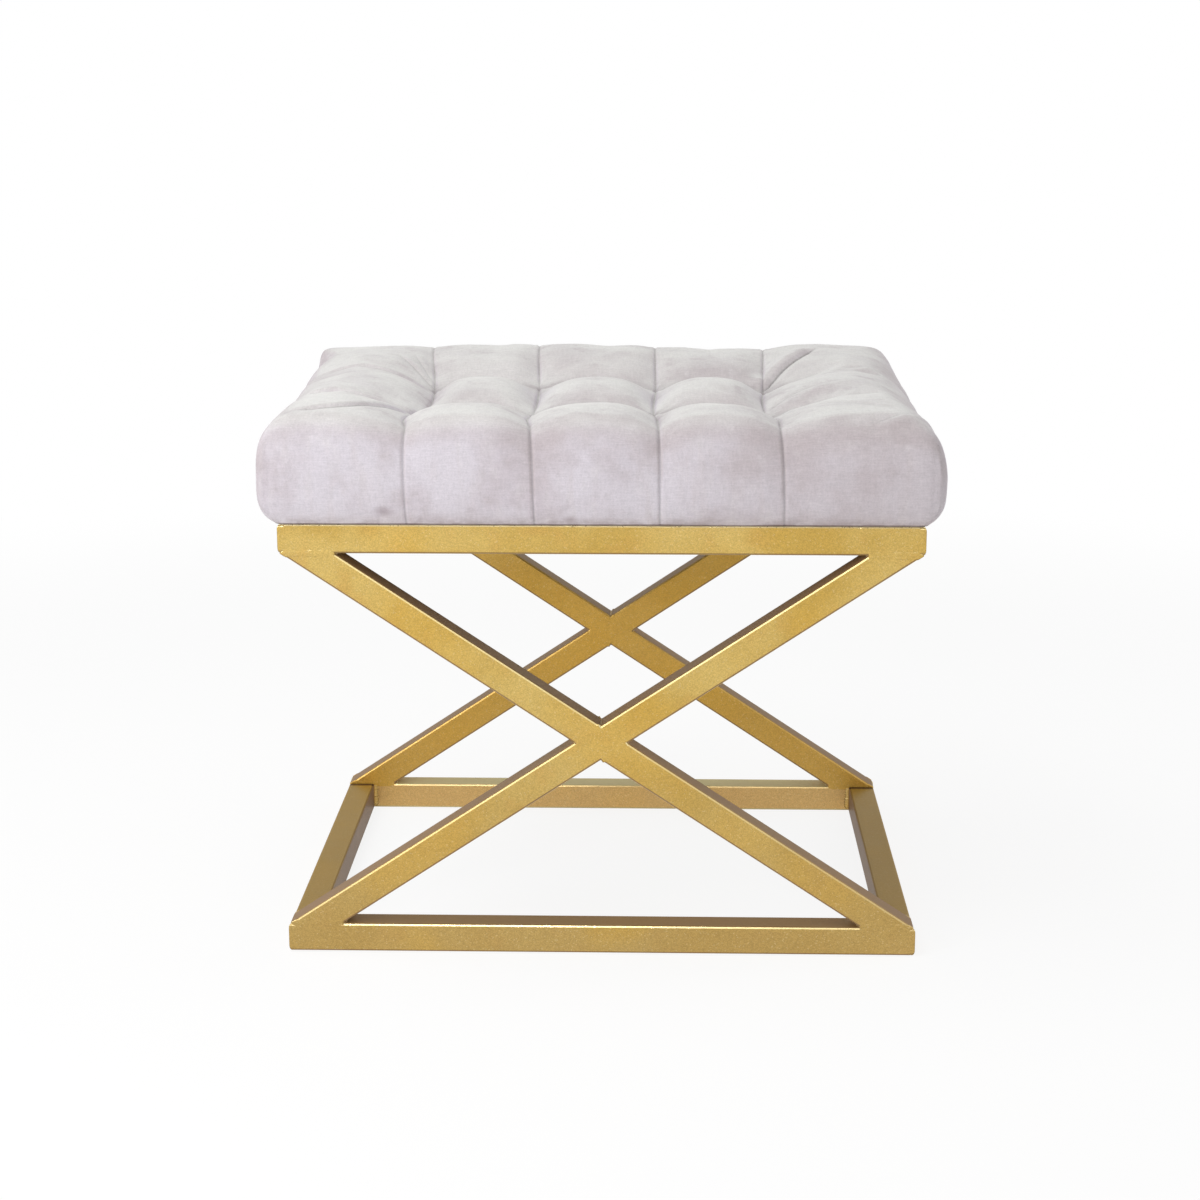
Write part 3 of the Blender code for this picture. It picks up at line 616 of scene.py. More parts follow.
def nearest(places, lines):
    """The distance from each place to the nearest of a few lines."""
    return np.abs(places[:, None] - np.array(lines)[None, :]).min(axis=1)


def pull_reach(places, lines, inner, outer):
    """How far a line's pull reaches: less between the lines than beyond the outer ones."""
    return np.where((places > lines[0]) & (places < lines[-1]), inner, outer)


def seat_pull(points):
    """How far the seams, rows and tufts draw each point of the smooth form inwards."""
    x, y, z = points.T
    reach = pull_reach(y, ROWS, ROWS[1], OUTER_ROW_REACH)
    row = smooth_table(np.abs(way_along(x, z, 0)), ROW_DEPTH)
    pull = row * valley(nearest(y, ROWS), reach, ROW_SOFTNESS)
    reach = pull_reach(x, SEAMS, (SEAMS[-1] - SEAMS[0]) / 6, PANEL_EDGE)
    seam = smooth_table(way_along(y, z, 1), SEAM_DEPTH)
    pull += np.maximum(seam - pull, 0) * valley(nearest(x, SEAMS), reach, SEAM_SOFTNESS)
    for tuft_x, tuft_y in TUFTS:
        distance = np.hypot(x - tuft_x, y - tuft_y)
        pull += np.where(z > BULGE_LEVEL, TUFT_PIT * np.exp(-distance / TUFT_REACH), 0)
    return np.where(z > SEAT_BOTTOM + 0.5 * MM, pull, 0)


def read(source, field="co"):
    """The vectors that a mesh holds for its points, in an array."""
    vectors = np.empty(len(source) * 3, np.float32)
    source.foreach_get(field, vectors)
    return vectors.reshape(-1, 3).astype(float)


def keep(mesh, name, values):
    """Keeps a value or a vector for each point of a mesh, under a name."""
    kind, field = ("FLOAT", "value") if values.ndim == 1 else ("FLOAT_VECTOR", "vector")
    attribute = mesh.attributes.new(name, kind, "POINT")
    attribute.data.foreach_set(field, values.astype(np.float32).ravel())


def move_points(mesh, points):
    mesh.vertices.foreach_set("co", points.astype(np.float32).ravel())
    mesh.update()


def lay_cloth(mesh, points):
    """Keeps each point's place on the smooth form, which the weave and the later folds go by."""
    keep(mesh, "laid", points)
    x, y, z = points.T
    on_end = SEAT_HALF[0] - np.abs(x) < SEAT_HALF[1] - np.abs(y)
    across = np.where(on_end, way_along(x, z, 0), x)
    along = np.where(on_end, y, way_along(y, z, 1))
    keep(mesh, "cloth", np.stack([across, along, z], axis=1))
    # The distances from the seams and rows, which the velvet's painted shade goes by
    keep(mesh, "seam_distance", np.minimum(nearest(x, SEAMS) / MM, corner_seam_distance(points)))
    beyond = np.maximum(0, np.abs(x) - ROW_SHADE_END) + np.maximum(0, BULGE_LEVEL - z)
    keep(mesh, "row_distance", (nearest(y, ROWS) + beyond) / MM)


# How the cloth swells: the most that a point moves, the number of steps and the cloth's own settings
SWELL_CAP = 7 * MM
SWELL_FRAMES = 20
CLOTH_SETTINGS = {
    "quality": 5,
    "mass": 0.3,
    "tension_stiffness": 20,
    "compression_stiffness": 20,
    "shear_stiffness": 8,
    "bending_stiffness": 1.5,
    "air_damping": 4,
    "use_pressure": True,
    "uniform_pressure_force": 4.0,
    "vertex_group_mass": "held",
    "pin_stiffness": 1,
}


def held_points(laid):
    """How firmly each point is held while the cloth swells: fully on seams, rows and the stapled edge."""
    x, y, z = laid.T
    held = np.where(nearest(x, SEAMS) < 0.4 * MM, 1.0, 0.0)
    row_hold = np.clip((165 * MM - np.abs(x)) / (20 * MM), 0, 1)
    on_row = (nearest(y, ROWS) < 0.4 * MM) & (z > BULGE_LEVEL)
    held = np.where(on_row, np.maximum(held, row_hold), held)
    return np.where(z < SEAT_BOTTOM + 3 * MM, 1.0, held)


def swell(obj, held):
    """Lets the cloth swell under pressure between its seams, with its result kept in the mesh."""
    start = read(obj.data.vertices)
    group = obj.vertex_groups.new(name="held")
    held = np.round(held, 1)
    for weight in sorted(set(held)):
        if weight > 0:
            group.add(np.nonzero(held == weight)[0].tolist(), float(weight), "REPLACE")
    cloth = obj.modifiers.new("swell", "CLOTH")
    for name, value in CLOTH_SETTINGS.items():
        setattr(cloth.settings, name, value)
    cloth.settings.effector_weights.gravity = 0
    cloth.collision_settings.use_collision = False
    scene = bpy.context.scene
    for number in range(1, SWELL_FRAMES + 1):
        scene.frame_set(number)
    depsgraph = bpy.context.evaluated_depsgraph_get()
    swollen = read(obj.evaluated_get(depsgraph).data.vertices)
    obj.modifiers.remove(cloth)
    obj.vertex_groups.remove(group)
    scene.frame_set(1)
    shift = swollen - start
    length = np.linalg.norm(shift, axis=1, keepdims=True)
    shift *= SWELL_CAP * np.tanh(length / SWELL_CAP) / np.maximum(length, 1e-9)
    move_points(obj.data, start + shift)


def refine(obj, levels):
    """Subdivides a piece for good."""
    modifier = obj.modifiers.new("fine", "SUBSURF")
    modifier.levels = levels
    modifier.render_levels = levels
    modifier.boundary_smooth = "PRESERVE_CORNERS"
    bpy.context.view_layer.objects.active = obj
    bpy.context.view_layer.update()
    depsgraph = bpy.context.evaluated_depsgraph_get()
    fine = bpy.data.meshes.new_from_object(
        obj.evaluated_get(depsgraph), preserve_all_data_layers=True, depsgraph=depsgraph
    )
    obj.modifiers.remove(modifier)
    obj.data = fine


def close_bottom(mesh):
    """Turns the cover's lower edge in and closes it with a flat bottom."""
    bm = bmesh.new()
    bm.from_mesh(mesh)
    rim = [edge for edge in bm.edges if edge.is_boundary]
    for share in (0.985, 0.94, 0.8):
        made = bmesh.ops.extrude_edge_only(bm, edges=rim)["geom"]
        turned = [part for part in made if isinstance(part, bmesh.types.BMVert)]
        bmesh.ops.scale(bm, vec=(share, share, 1), verts=turned)
        rim = [part for part in made if isinstance(part, bmesh.types.BMEdge) and part.is_boundary]
    bmesh.ops.contextual_create(bm, geom=rim)
    bm.to_mesh(mesh)
    bm.free()
    mesh.shade_smooth()


def polyline_distance(points, line):
    """Signed distance to a line through 2-D points, and how far along it, from 0 to 1, that is measured."""
    line = np.array(line)
    best = np.full(len(points), 1e9)
    signed = np.zeros(len(points))
    share = np.zeros(len(points))
    lengths = np.linalg.norm(np.diff(line, axis=0), axis=1)
    total, done = lengths.sum(), 0.0
    for start, end, length in zip(line, line[1:], lengths):
        run = (end - start) / length
        offset = points - start
        t = np.clip(offset @ run, 0, length)
        gap = offset - t[:, None] * run
        distance = np.hypot(gap[:, 0], gap[:, 1])
        side = np.sign(run[0] * gap[:, 1] - run[1] * gap[:, 0])
        nearer = distance < best
        best = np.where(nearer, distance, best)
        signed = np.where(nearer, distance * side, signed)
        share = np.where(nearer, (done + t) / total, share)
        done += length
    return signed, share


def curve_through(points, steps=8):
    """A smooth line through a few chosen points."""
    points = [Vector(p) for p in points]
    ends = [points[0] * 2 - points[1]] + points + [points[-1] * 2 - points[-2]]
    line = []
    for a, b, c, d in zip(ends, ends[1:], ends[2:], ends[3:]):
        for k in range(steps):
            t = k / steps
            bend = (2 * a - 5 * b + 4 * c - d) * t * t + (3 * b - a - 3 * c + d) * t**3
            line.append(0.5 * (2 * b + (c - a) * t + bend))
    return [tuple(p) for p in line + [points[-1]]]


# Folds on the top of the seat, in millimetres, as (depth of the valley, its width, height of the roll
# beside it, its width, the side the roll is on, the line)
FOLDS = (
    (2.8, 2.0, 2.0, 9.0, 1, ((-143, 62), (-160, 50), (-184, 48), (-208, 52), (-240, 48))),
    (2.8, 1.9, 1.6, 8.0, 1, ((-143, -52), (-158, -76), (-178, -82), (-205, -76), (-240, -74))),
    (2.2, 1.8, 1.4, 7.0, 1, ((-147, -70), (-160, -110), (-182, -146), (-208, -162), (-238, -166))),
    (1.2, 1.8, 0.8, 5.0, 1, ((-143, 70), (-156, 88), (-170, 108), (-182, 128))),
    (0.9, 1.6, 0.6, 4.0, 1, ((-141, 74), (-150, 92), (-158, 116), (-164, 138))),
    (3.4, 2.6, 2.6, 8.0, -1, ((129, 70), (138, 84), (150, 106), (163, 128), (178, 152))),
    (1.2, 3.5, 1.2, 10.0, 1, ((131, -50), (150, -32), (174, -18), (200, -14), (236, -30))),
    (1.3, 3.0, 1.3, 10.0, 1, ((132, -67), (150, -68), (176, -74), (206, -98), (238, -118))),
    (0.8, 3.5, 0.8, 8.0, -1, ((134, -72), (160, -110), (196, -140), (228, -160))),
    (0.9, 3.5, 0.8, 10.0, -1, ((129, 66), (160, 58), (196, 50), (236, 52))),
    (0.9, 3.0, 1.1, 6.0, 1, ((196, -184), (212, -175), (226, -162), (240, -140))),
    (0.7, 2.0, 0.6, 5.0, 1, ((136, 48), (158, 66), (184, 74), (210, 70), (234, 74))),
)

# The depth in millimetres from which a fold's valley has its full shade
DEEPEST_SHADE = 2.8


def beside_fold(laid, side, line):
    """Distance in millimetres from a fold, positive on its roll's side, and the fold's strength there."""
    path = [tuple(c * MM for c in p) for p in curve_through(line)]
    signed, share = polyline_distance(laid[:, :2], path)
    fade = np.clip(share / 0.12, 0, 1) * np.clip((1 - share) / 0.22, 0, 1)
    on_top = np.clip((laid[:, 2] - BULGE_LEVEL + 6 * MM) / (14 * MM), 0, 1)
    return -signed * side / MM, eased(fade) * on_top


def fold_height(laid):
    """How far the folds sink or raise each point."""
    height = np.zeros(len(laid))
    for depth, width, rise, spread, side, line in FOLDS:
        signed, strength = beside_fold(laid, side, line)
        crease = -depth * np.exp(-np.abs(signed) / width)
        roll = rise * np.exp(-(((signed - 0.9 * spread) / spread) ** 2))
        height += (crease + roll) * strength * MM
    return height


def mark_folds(mesh, laid):
    """Keeps each point's distance from the nearest fold, which the velvet's shading goes by."""
    distance = np.full(len(laid), 99.0)
    depth_there = np.zeros(len(laid))
    for depth, _, _, _, side, line in FOLDS:
        signed, strength = beside_fold(laid, side, line)
        nearer = np.abs(signed) < np.abs(distance)
        depth_there = np.where(nearer, strength * depth / DEEPEST_SHADE, depth_there)
        distance = np.where(nearer, signed, distance)
    keep(mesh, "fold_distance", distance)
    keep(mesh, "fold_depth", depth_there * np.clip((4.5 - np.abs(distance)) / 2, 0, 1))


def seam_groove(laid):
    """The narrow sewn line along each lengthwise seam, with a slight pucker at each stitch."""
    x, y, z = laid.T
    gap = nearest(x, SEAMS) / MM
    pucker = 1 + 0.25 * np.sin((y + z) * 2 * math.pi / STITCH_PITCH)
    groove = 0.25 * np.exp(-(((gap - 2.6) / 1.2) ** 2)) - 0.9 * np.exp(-((gap / 0.9) ** 2))
    return groove * pucker * np.where(np.abs(x) < SEAT_HALF[0] - SHOULDER, 1, 0) * MM


def row_fold(laid):
    """The cover is folded in along the two rows of tufts, most sharply between neighbouring tufts."""
    x, y, z = laid.T
    inside = np.clip((150 * MM - np.abs(x)) / (12 * MM), 0, 1)
    between = np.clip(nearest(x, SEAMS) / (9 * MM), 0.2, 1)
    return -1.9 * MM * np.exp(-nearest(y, ROWS) / (2.0 * MM)) * inside * between * (z > BULGE_LEVEL)


def tuft_pleats(laid):
    """Short pleats that run out from each tuft like a star, and the small pit at its middle."""
    x, y, z = laid.T
    height = np.zeros(len(laid))
    for number, (tuft_x, tuft_y) in enumerate(TUFTS):
        distance = np.hypot(x - tuft_x, y - tuft_y) / MM
        angle = np.arctan2(y - tuft_y, x - tuft_x)
        star = np.cos(angle * 7 + number * 1.7) + 0.6 * np.cos(angle * 11 + number * 2.9)
        height += 0.55 * star * np.exp(-distance / 13) * np.clip(distance / 7, 0, 1)
        height -= 1.2 * np.exp(-((distance / 2.4) ** 2))
    return np.where(z > BULGE_LEVEL, height, 0) * MM


def hand_unevenness(laid):
    """The slight lumps of a hand-stuffed seat."""
    height = np.empty(len(laid))
    for number, point in enumerate(laid):
        broad = noise.noise(Vector(point) * 22)
        small = noise.noise(Vector(point) * 60 + Vector((3, 1, 7)))
        height[number] = 0.9 * broad + 0.35 * small
    return height * MM


def corner_seam_distance(laid):
    """Distance in millimetres to the nearest upright seam. These join the cover's front and back to its
    ends, a little inside the corners."""
    x, y, z = laid.T
    out_x = np.abs(x) - (SEAT_HALF[0] - CORNER_RADIUS)
    out_y = np.abs(y) - (SEAT_HALF[1] - CORNER_RADIUS)
    off = (np.arctan2(out_y, out_x) - CORNER_SEAM_TURN) * CORNER_RADIUS / MM
    inside = (out_x > -4 * MM) & (out_y > 0) & (z < BULGE_LEVEL + 24 * MM)
    return np.where(inside, np.abs(off), 99)


def corner_seam(laid):
    """The raised edge of each upright corner seam, with a hollow on both sides."""
    off = corner_seam_distance(laid)
    return (1.1 * np.exp(-((off / 1.4) ** 2)) - 0.8 * np.exp(-(((off - 3.6) / 1.6) ** 2))) * MM


# How far each hand-sewn seam strays sideways, at stations from the front bottom edge to the rear one
DRIFT_STATIONS = (-272, -240, -190, -106, -67, 67, 170, 270)
SEAM_DRIFT = (
    (4, 3, 3, -3, 4, 2, -9, -9),
    (4, 3, 1, -5, -3, -5, -10, -9),
    (2, 2, 1, -1, -3, -2, -3, -2),
    (2, 1, -1, -1, -6, -4, 0, 1),
)

# How far each tuft draws its surroundings forward and down, in millimetres, and how far that reaches
TUFT_DRAW = ((10, 1.2), (9, 1.0), (3, 0.2), (12, 2.0), (8, 1.4), (2, 0.0), (5, 0.5), (8, 1.4))
DRAW_WIDTH = 30 * MM
DRAW_LENGTH = 24 * MM

# How much higher or lower the top is along its rear edge, from left to right
REAR_EDGE = (
    *((-250, -5.0), (-195, -4.5), (-145, -0.5), (-98, -1.5), (-52, 2.6), (-5, 0.0)),
    *((41, 1.8), (86, -4.0), (131, -0.5), (180, 0.5), (225, -1.5), (250, -2.0)),
)

# The rear left corner, pulled out like an ear when the cover was fitted
EAR_PLACE = (-248 * MM, 196 * MM)
EAR_REACH = 26 * MM
EAR_PULL = 6 * MM


def sideways_drift(laid):
    """How far the seams and the cloth beside them have strayed."""
    x, y, z = laid.T
    along = way_along(y, z, 1)
    drift = np.zeros(len(laid))
    for seam, shifts in zip(SEAMS, SEAM_DRIFT):
        near = np.clip(1 - np.abs(x - seam) / (45 * MM), 0, 1)
        drift += eased(near) * smooth_table(along, list(zip(DRIFT_STATIONS, shifts)))
    return drift


def sat_in(points, laid):
    """The last shifts: tufts drawn forward and down, an uneven rear edge and one pulled-out corner."""
    x, y, z = laid.T
    on_top = np.clip((z - BULGE_LEVEL) / (30 * MM), 0, 1)
    points = points.copy()
    for (tuft_x, tuft_y), (forward, down) in zip(TUFTS, TUFT_DRAW):
        aside, behind = (x - tuft_x) / DRAW_WIDTH, (y - tuft_y) / DRAW_LENGTH
        near = np.exp(-(aside**2) - behind**2) * on_top
        points[:, 1] -= forward * MM * near
        points[:, 2] -= down * MM * near
    rear = eased(np.clip((y - 90 * MM) / (70 * MM), 0, 1))
    points[:, 2] += np.interp(x, *in_metres(REAR_EDGE)) * rear * on_top
    ear = np.hypot(x - EAR_PLACE[0], y - EAR_PLACE[1]) / EAR_REACH
    points[:, 0] -= EAR_PULL * np.exp(-(ear**2)) * on_top
    return points


def seat_cushion(material):
    """The velvet seat, from its smooth form to its last wrinkles."""
    cushion = piece("velvet_cushion", SeatForm(GRID_STEP).bm, material)
    mesh = cushion.data
    laid = read(mesh.vertices)
    outward = read(mesh.vertex_normals, "vector")
    lay_cloth(mesh, laid)
    points = laid - outward * seat_pull(laid)[:, None]
    points += outward * (fold_height(laid) * 0.5)[:, None]
    move_points(mesh, points)
    swell(cushion, held_points(laid))
    refine(cushion, 1)
    mesh = cushion.data
    laid = read(mesh.attributes["laid"].data, "vector")
    mark_folds(mesh, laid)
    detail = fold_height(laid) * 0.9 + seam_groove(laid) + row_fold(laid) + tuft_pleats(laid)
    detail += hand_unevenness(laid) + corner_seam(laid)
    detail *= np.clip((laid[:, 2] - SEAT_BOTTOM) / (8 * MM), 0, 1)
    points = read(mesh.vertices) + read(mesh.vertex_normals, "vector") * detail[:, None]
    points[:, 0] += sideways_drift(laid)
    points = sat_in(points, laid)
    points[:, 2] = np.maximum(points[:, 2], SEAT_BOTTOM)
    move_points(mesh, points)
    close_bottom(mesh)
    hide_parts("velvet_cover", "wadding", "foam_pad")


# The X panels of the frame: the slope of their braces, and how long a brace's cut end is along the rail
BRACE_RISE = FRAME_TOP - 2 * TUBE
BRACE_RUN = 2 * FRAME_RIGHT
BRACE_SLOPE = math.atan2(BRACE_RISE, BRACE_RUN) + math.asin(TUBE / math.hypot(BRACE_RUN, BRACE_RISE))
BRACE_CUT = TUBE / math.sin(BRACE_SLOPE)
PANELS = (("front", -1), ("rear", 1))
X_AXIS, Y_AXIS, Z_AXIS = Vector((1, 0, 0)), Vector((0, 1, 0)), Vector((0, 0, 1))

# A weld that was ground flush, and the rougher one left in an inner corner
GROUND_WIDTH = 6.0 * MM
GROUND_RISE = 0.13 * MM
GROUND_SINK = 0.05 * MM
GROUND_BACK = 0.9 * MM
CAP_DEPTH = 1.6 * MM
BEAD_LEG = 2.6 * MM
CROSSING_BEAD_LEG = 0.9 * MM
SIDE_BEAD_LEG = 3.4 * MM


def loft(bm, rings):
    """Joins rings of points into one closed skin with flat ends."""
    loops = [[bm.verts.new(point) for point in ring] for ring in rings]
    for before, after in zip(loops, loops[1:]):
        for k in range(len(before)):
            m = (k + 1) % len(before)
            bm.faces.new((before[k], before[m], after[m], after[k]))
    bm.faces.new(loops[0])
    bm.faces.new(loops[-1][::-1])


def ground_weld(bm, start, end, facing, corner_slope=None):
    """A low smooth strip along a joint line, as a ground weld leaves it. Where it starts at a corner of the
    panel, it widens from there by corner_slope."""
    way = (end - start).normalized()
    across = way.cross(facing)
    length = (end - start).length
    steps = max(4, round(length / (1.5 * MM)))
    rings = []
    for number in range(steps + 1):
        at = number / steps
        fade = math.sin(math.pi * min(1, 8 * min(at, 1 - at)) / 2)
        width = GROUND_WIDTH
        if corner_slope:
            fade = 1 if at < 0.5 else fade
            width = min(width, 0.6 * MM + 2 * length * at * math.tan(corner_slope))
        middle = start + way * length * at
        ring = []
        for k in range(9):
            side = k / 4 - 1
            lump = 0.03 * MM * noise.noise((middle + across * side * GROUND_WIDTH) * 300)
            level = (GROUND_RISE * (1 - side * side) + lump) * fade - GROUND_SINK
            ring.append(middle + across * side * width / 2 * (0.7 + 0.3 * fade) + facing * level)
        ring += [ring[-1] - facing * GROUND_BACK, ring[0] - facing * GROUND_BACK]
        rings.append(ring)
    loft(bm, rings)


def weld_bead(bm, start, end, way_a, way_b, leg, roughness=0.25):
    """A bead of weld in the inner corner between two tube faces that lead off along way_a and way_b."""
    way = (end - start).normalized()
    length = (end - start).length
    steps = max(6, round(length / (0.7 * MM)))
    rings = []
    for number in range(steps + 1):
        at = number / steps
        fade = math.sin(math.pi * min(1, 6 * min(at, 1 - at)) / 2) * 0.55 + 0.45
        corner = start + way * length * at
        ripple = 1 + roughness * (math.sin(number * 1.9) * 0.35 + noise.noise(corner * 700) * 1.1)
        ring = [corner - (way_a + way_b) * 0.5 * MM]
        for k in range(7):
            turn = k / 6 * math.pi / 2
            reach_a = leg * fade * ripple * (1 - math.sin(turn)) ** 1.4
            reach_b = leg * fade * ripple * (1 - math.cos(turn)) ** 1.4
            reach_a += 0.08 * MM * (k < 6)
            reach_b += 0.08 * MM * (k > 0)
            ring.append(corner + way_a * reach_a + way_b * reach_b)
        rings.append(ring)
    loft(bm, rings)


def brace_ways(lean):
    """The ways that the through brace and the half braces run, and the way up across the through brace."""
    c, s = math.cos(BRACE_SLOPE), math.sin(BRACE_SLOPE)
    return Vector((lean * c, 0, s)), Vector((-lean * c, 0, s)), Vector((-lean * s, 0, c))


def flush_welds(place, direction, material):
    """The welds on both faces of an X panel and at its rails' closing plates, ground flush and painted."""
    bm = bmesh.new()
    outer_face, inner_face = FRAME_FRONT * -direction, (FRAME_FRONT + TUBE) * -direction
    outwards = Y_AXIS * direction
    through, _, up = brace_ways(-direction)
    reach = TUBE / math.sin(2 * BRACE_SLOPE) / 2 - 0.3 * MM
    for y, facing in ((outer_face, outwards), (inner_face, -outwards)):
        middle = Vector((0, y, FRAME_TOP / 2))
        for level in (TUBE, FRAME_TOP - TUBE):
            for side in (-1, 1):
                outer = Vector((side * (FRAME_RIGHT - 0.2 * MM), y, level))
                inner = Vector((side * (FRAME_RIGHT - BRACE_CUT - 0.5 * MM), y, level))
                ground_weld(bm, outer, inner, facing, BRACE_SLOPE)
        for side in (-1, 1):
            shift = -TUBE / 2 / math.tan(2 * BRACE_SLOPE) * side
            centre = middle + up * side * TUBE / 2 + through * shift
            ground_weld(bm, centre - through * reach, centre + through * reach, facing)
    for side in (-1, 1):
        for low in (0, FRAME_TOP - TUBE):
            foot = Vector((side * (FRAME_RIGHT - CAP_DEPTH), outer_face, low + 1 * MM))
            ground_weld(bm, foot, foot + Z_AXIS * (TUBE - 2 * MM), outwards)
    piece(f"{place}_flush_welds", bm, material)


def inner_beads(place, direction, material):
    """Small beads between the braces and what they meet, seen edge on from the front."""
    bm = bmesh.new()
    faces = (FRAME_FRONT * -direction, (FRAME_FRONT + TUBE) * -direction)
    near, far = sorted((faces[0] - direction * 1.2 * MM, faces[1] + direction * 1.2 * MM))
    through, halved, _ = brace_ways(-direction)
    for level, upright in ((TUBE, 1), (FRAME_TOP - TUBE, -1)):
        for side in (-1, 1):
            x = side * (FRAME_RIGHT - BRACE_CUT)
            along_brace = Vector((-side * math.cos(BRACE_SLOPE), 0, upright * math.sin(BRACE_SLOPE)))
            ends = Vector((x, near, level)), Vector((x, far, level))
            weld_bead(bm, *ends, X_AXIS * -side, along_brace, BEAD_LEG)
    middle = Vector((0, 0, FRAME_TOP / 2))
    for a in (-1, 1):
        for b in (-1, 1):
            corner = middle + (through * a + halved * b) * TUBE / 2 / math.sin(2 * BRACE_SLOPE)
            ends = corner + Y_AXIS * near, corner + Y_AXIS * far
            weld_bead(bm, *ends, through * a, halved * b, CROSSING_BEAD_LEG, 0.05)
    piece(f"{place}_inner_weld_beads", bm, material)


def side_rail_welds(material):
    """The welds that hold the side rails between the two X panels."""
    flush, beads = bmesh.new(), bmesh.new()
    for side in (-1, 1):
        for direction in (-1, 1):
            for low in (0, FRAME_TOP - TUBE):
                foot = Vector((side * FRAME_RIGHT, direction * SIDE_JOINT, low + 2 * MM))
                ground_weld(flush, foot, foot + Z_AXIS * (TUBE - 4 * MM), X_AXIS * side)
                foot = Vector((side * (FRAME_RIGHT - TUBE), direction * SIDE_JOINT, low + 1 * MM))
                head = foot + Z_AXIS * (TUBE - 2 * MM)
                weld_bead(beads, foot, head, X_AXIS * -side, Y_AXIS * -direction, SIDE_BEAD_LEG, 0.45)
    piece("side_rail_flush_welds", flush, material)
    piece("side_rail_weld_beads", beads, material)


# The black cloth under the seat, stapled through the turned-in edge of the cover
CLOTH_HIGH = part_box("dust_cloth")[1]
CLOTH_EDGE = (CLOTH_HIGH.x, CLOTH_HIGH.y)
CLOTH_SAG = 2.6 * MM
CLOTH_STEP = 3 * MM
STAPLE_INSET = 7 * MM
STAPLE_END = 14 * MM
STAPLE_PITCH = 32 * MM
STAPLE_CROWN = 11 * MM

# One half of a staple's wire from its middle to its tip, as (share of the crown, height in millimetres),
# and the flat section of the wire
STAPLE_BEND = ((0.0, -0.1), (0.4, -0.06), (0.46, 0.02), (0.5, 0.25), (0.5, 0.7))
WIRE_SECTION = [(a * 0.55 * MM, b * 0.24 * MM) for a, b in ((-1, -1), (1, -1), (1, 1), (-1, 1))]


def staple_places():
    """Middle of each staple along the four edges of the cloth, and the axis that its edge runs along."""
    places = []
    for axis in (0, 1):
        half = CLOTH_EDGE[axis] - STAPLE_END
        count = round(2 * half / STAPLE_PITCH)
        for k in range(count + 1):
            at = -half + 2 * half * k / count
            for side in (-1, 1):
                across = side * (CLOTH_EDGE[1 - axis] - STAPLE_INSET)
                places.append((at, across, 0) if axis == 0 else (across, at, 1))
    return places


def under_cloth(material):
    """The cloth sags a little in the middle and is drawn up into small wrinkles at each staple."""
    bm = bmesh.new()
    counts = [round(2 * half / CLOTH_STEP) for half in CLOTH_EDGE]
    places = staple_places()
    rows = []
    for i in range(counts[0] + 1):
        row = []
        for j in range(counts[1] + 1):
            x = CLOTH_EDGE[0] * (2 * i / counts[0] - 1)
            y = CLOTH_EDGE[1] * (2 * j / counts[1] - 1)
            row.append(bm.verts.new((x, y, cloth_level(x, y, places))))
        rows.append(row)
    for before, after in zip(rows, rows[1:]):
        for j in range(counts[1]):
            bm.faces.new((before[j], before[j + 1], after[j + 1], after[j]))
    cloth = piece("under_cloth", bm, material)
    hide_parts("dust_cloth")


def cloth_level(x, y, places):
    """The level of the cloth at one place: the sag, a faint unevenness and the wrinkles between staples."""
    inward = min(CLOTH_EDGE[0] - abs(x), CLOTH_EDGE[1] - abs(y))
    sag = CLOTH_SAG * (1 - (x / CLOTH_EDGE[0]) ** 4) * (1 - (y / CLOTH_EDGE[1]) ** 4)
    spot = Vector((x, y, 0))
    sag += 0.5 * MM * noise.noise(spot * 18) * min(1, inward / (30 * MM))
    along = x if CLOTH_EDGE[1] - abs(y) < CLOTH_EDGE[0] - abs(x) else y
    wave = math.cos(2 * math.pi * along / STAPLE_PITCH + 2 * noise.noise(spot * 9))
    sag += 0.55 * MM * wave * math.exp(-inward / (16 * MM)) * min(1, inward / (6 * MM))
    pinch = sum(math.exp(-(((x - a) ** 2 + (y - b) ** 2) / (5 * MM) ** 2)) for a, b, _ in places)
    return CLOTH_HIGH.z - 0.25 * MM - (max(0, sag) + 0.25 * MM) * (1 - min(1, pinch))


def staples(material):
    """Flat-wire staples, each with a straight crown whose ends bend up through the cloth."""
    bm = bmesh.new()
    wire = [(-at, rise) for at, rise in STAPLE_BEND[:0:-1]] + list(STAPLE_BEND)
    for number, (x, y, axis) in enumerate(staple_places()):
        turn = math.pi / 2 * axis + 0.22 * noise.noise(Vector((x, y, 0)) * 91 + Vector((number, 0, 0)))
        way = Vector((math.cos(turn), math.sin(turn), 0))
        across = way.cross(Z_AXIS)
        middle = Vector((x, y, CLOTH_HIGH.z - 0.75 * MM))
        rings = []
        for at, rise in wire:
            spot = middle + way * STAPLE_CROWN * at + Z_AXIS * rise * MM
            up = Z_AXIS if abs(at) < 0.5 else way * -math.copysign(1, at)
            rings.append([spot + across * a + up * b for a, b in WIRE_SECTION])
        loft(bm, rings)
    piece("cloth_staples", bm, material)


# The camera that the photograph was taken with, fitted to the frame's corners
CAMERA_PLACE = (43.5 * MM, -1875.2 * MM, 669.6 * MM)
CAMERA_TURN = [math.radians(angle) for angle in (90 - 12.213, 0.051, 1.481)]
CAMERA_LENS = 71.19
CAMERA_SHIFT = -0.0328

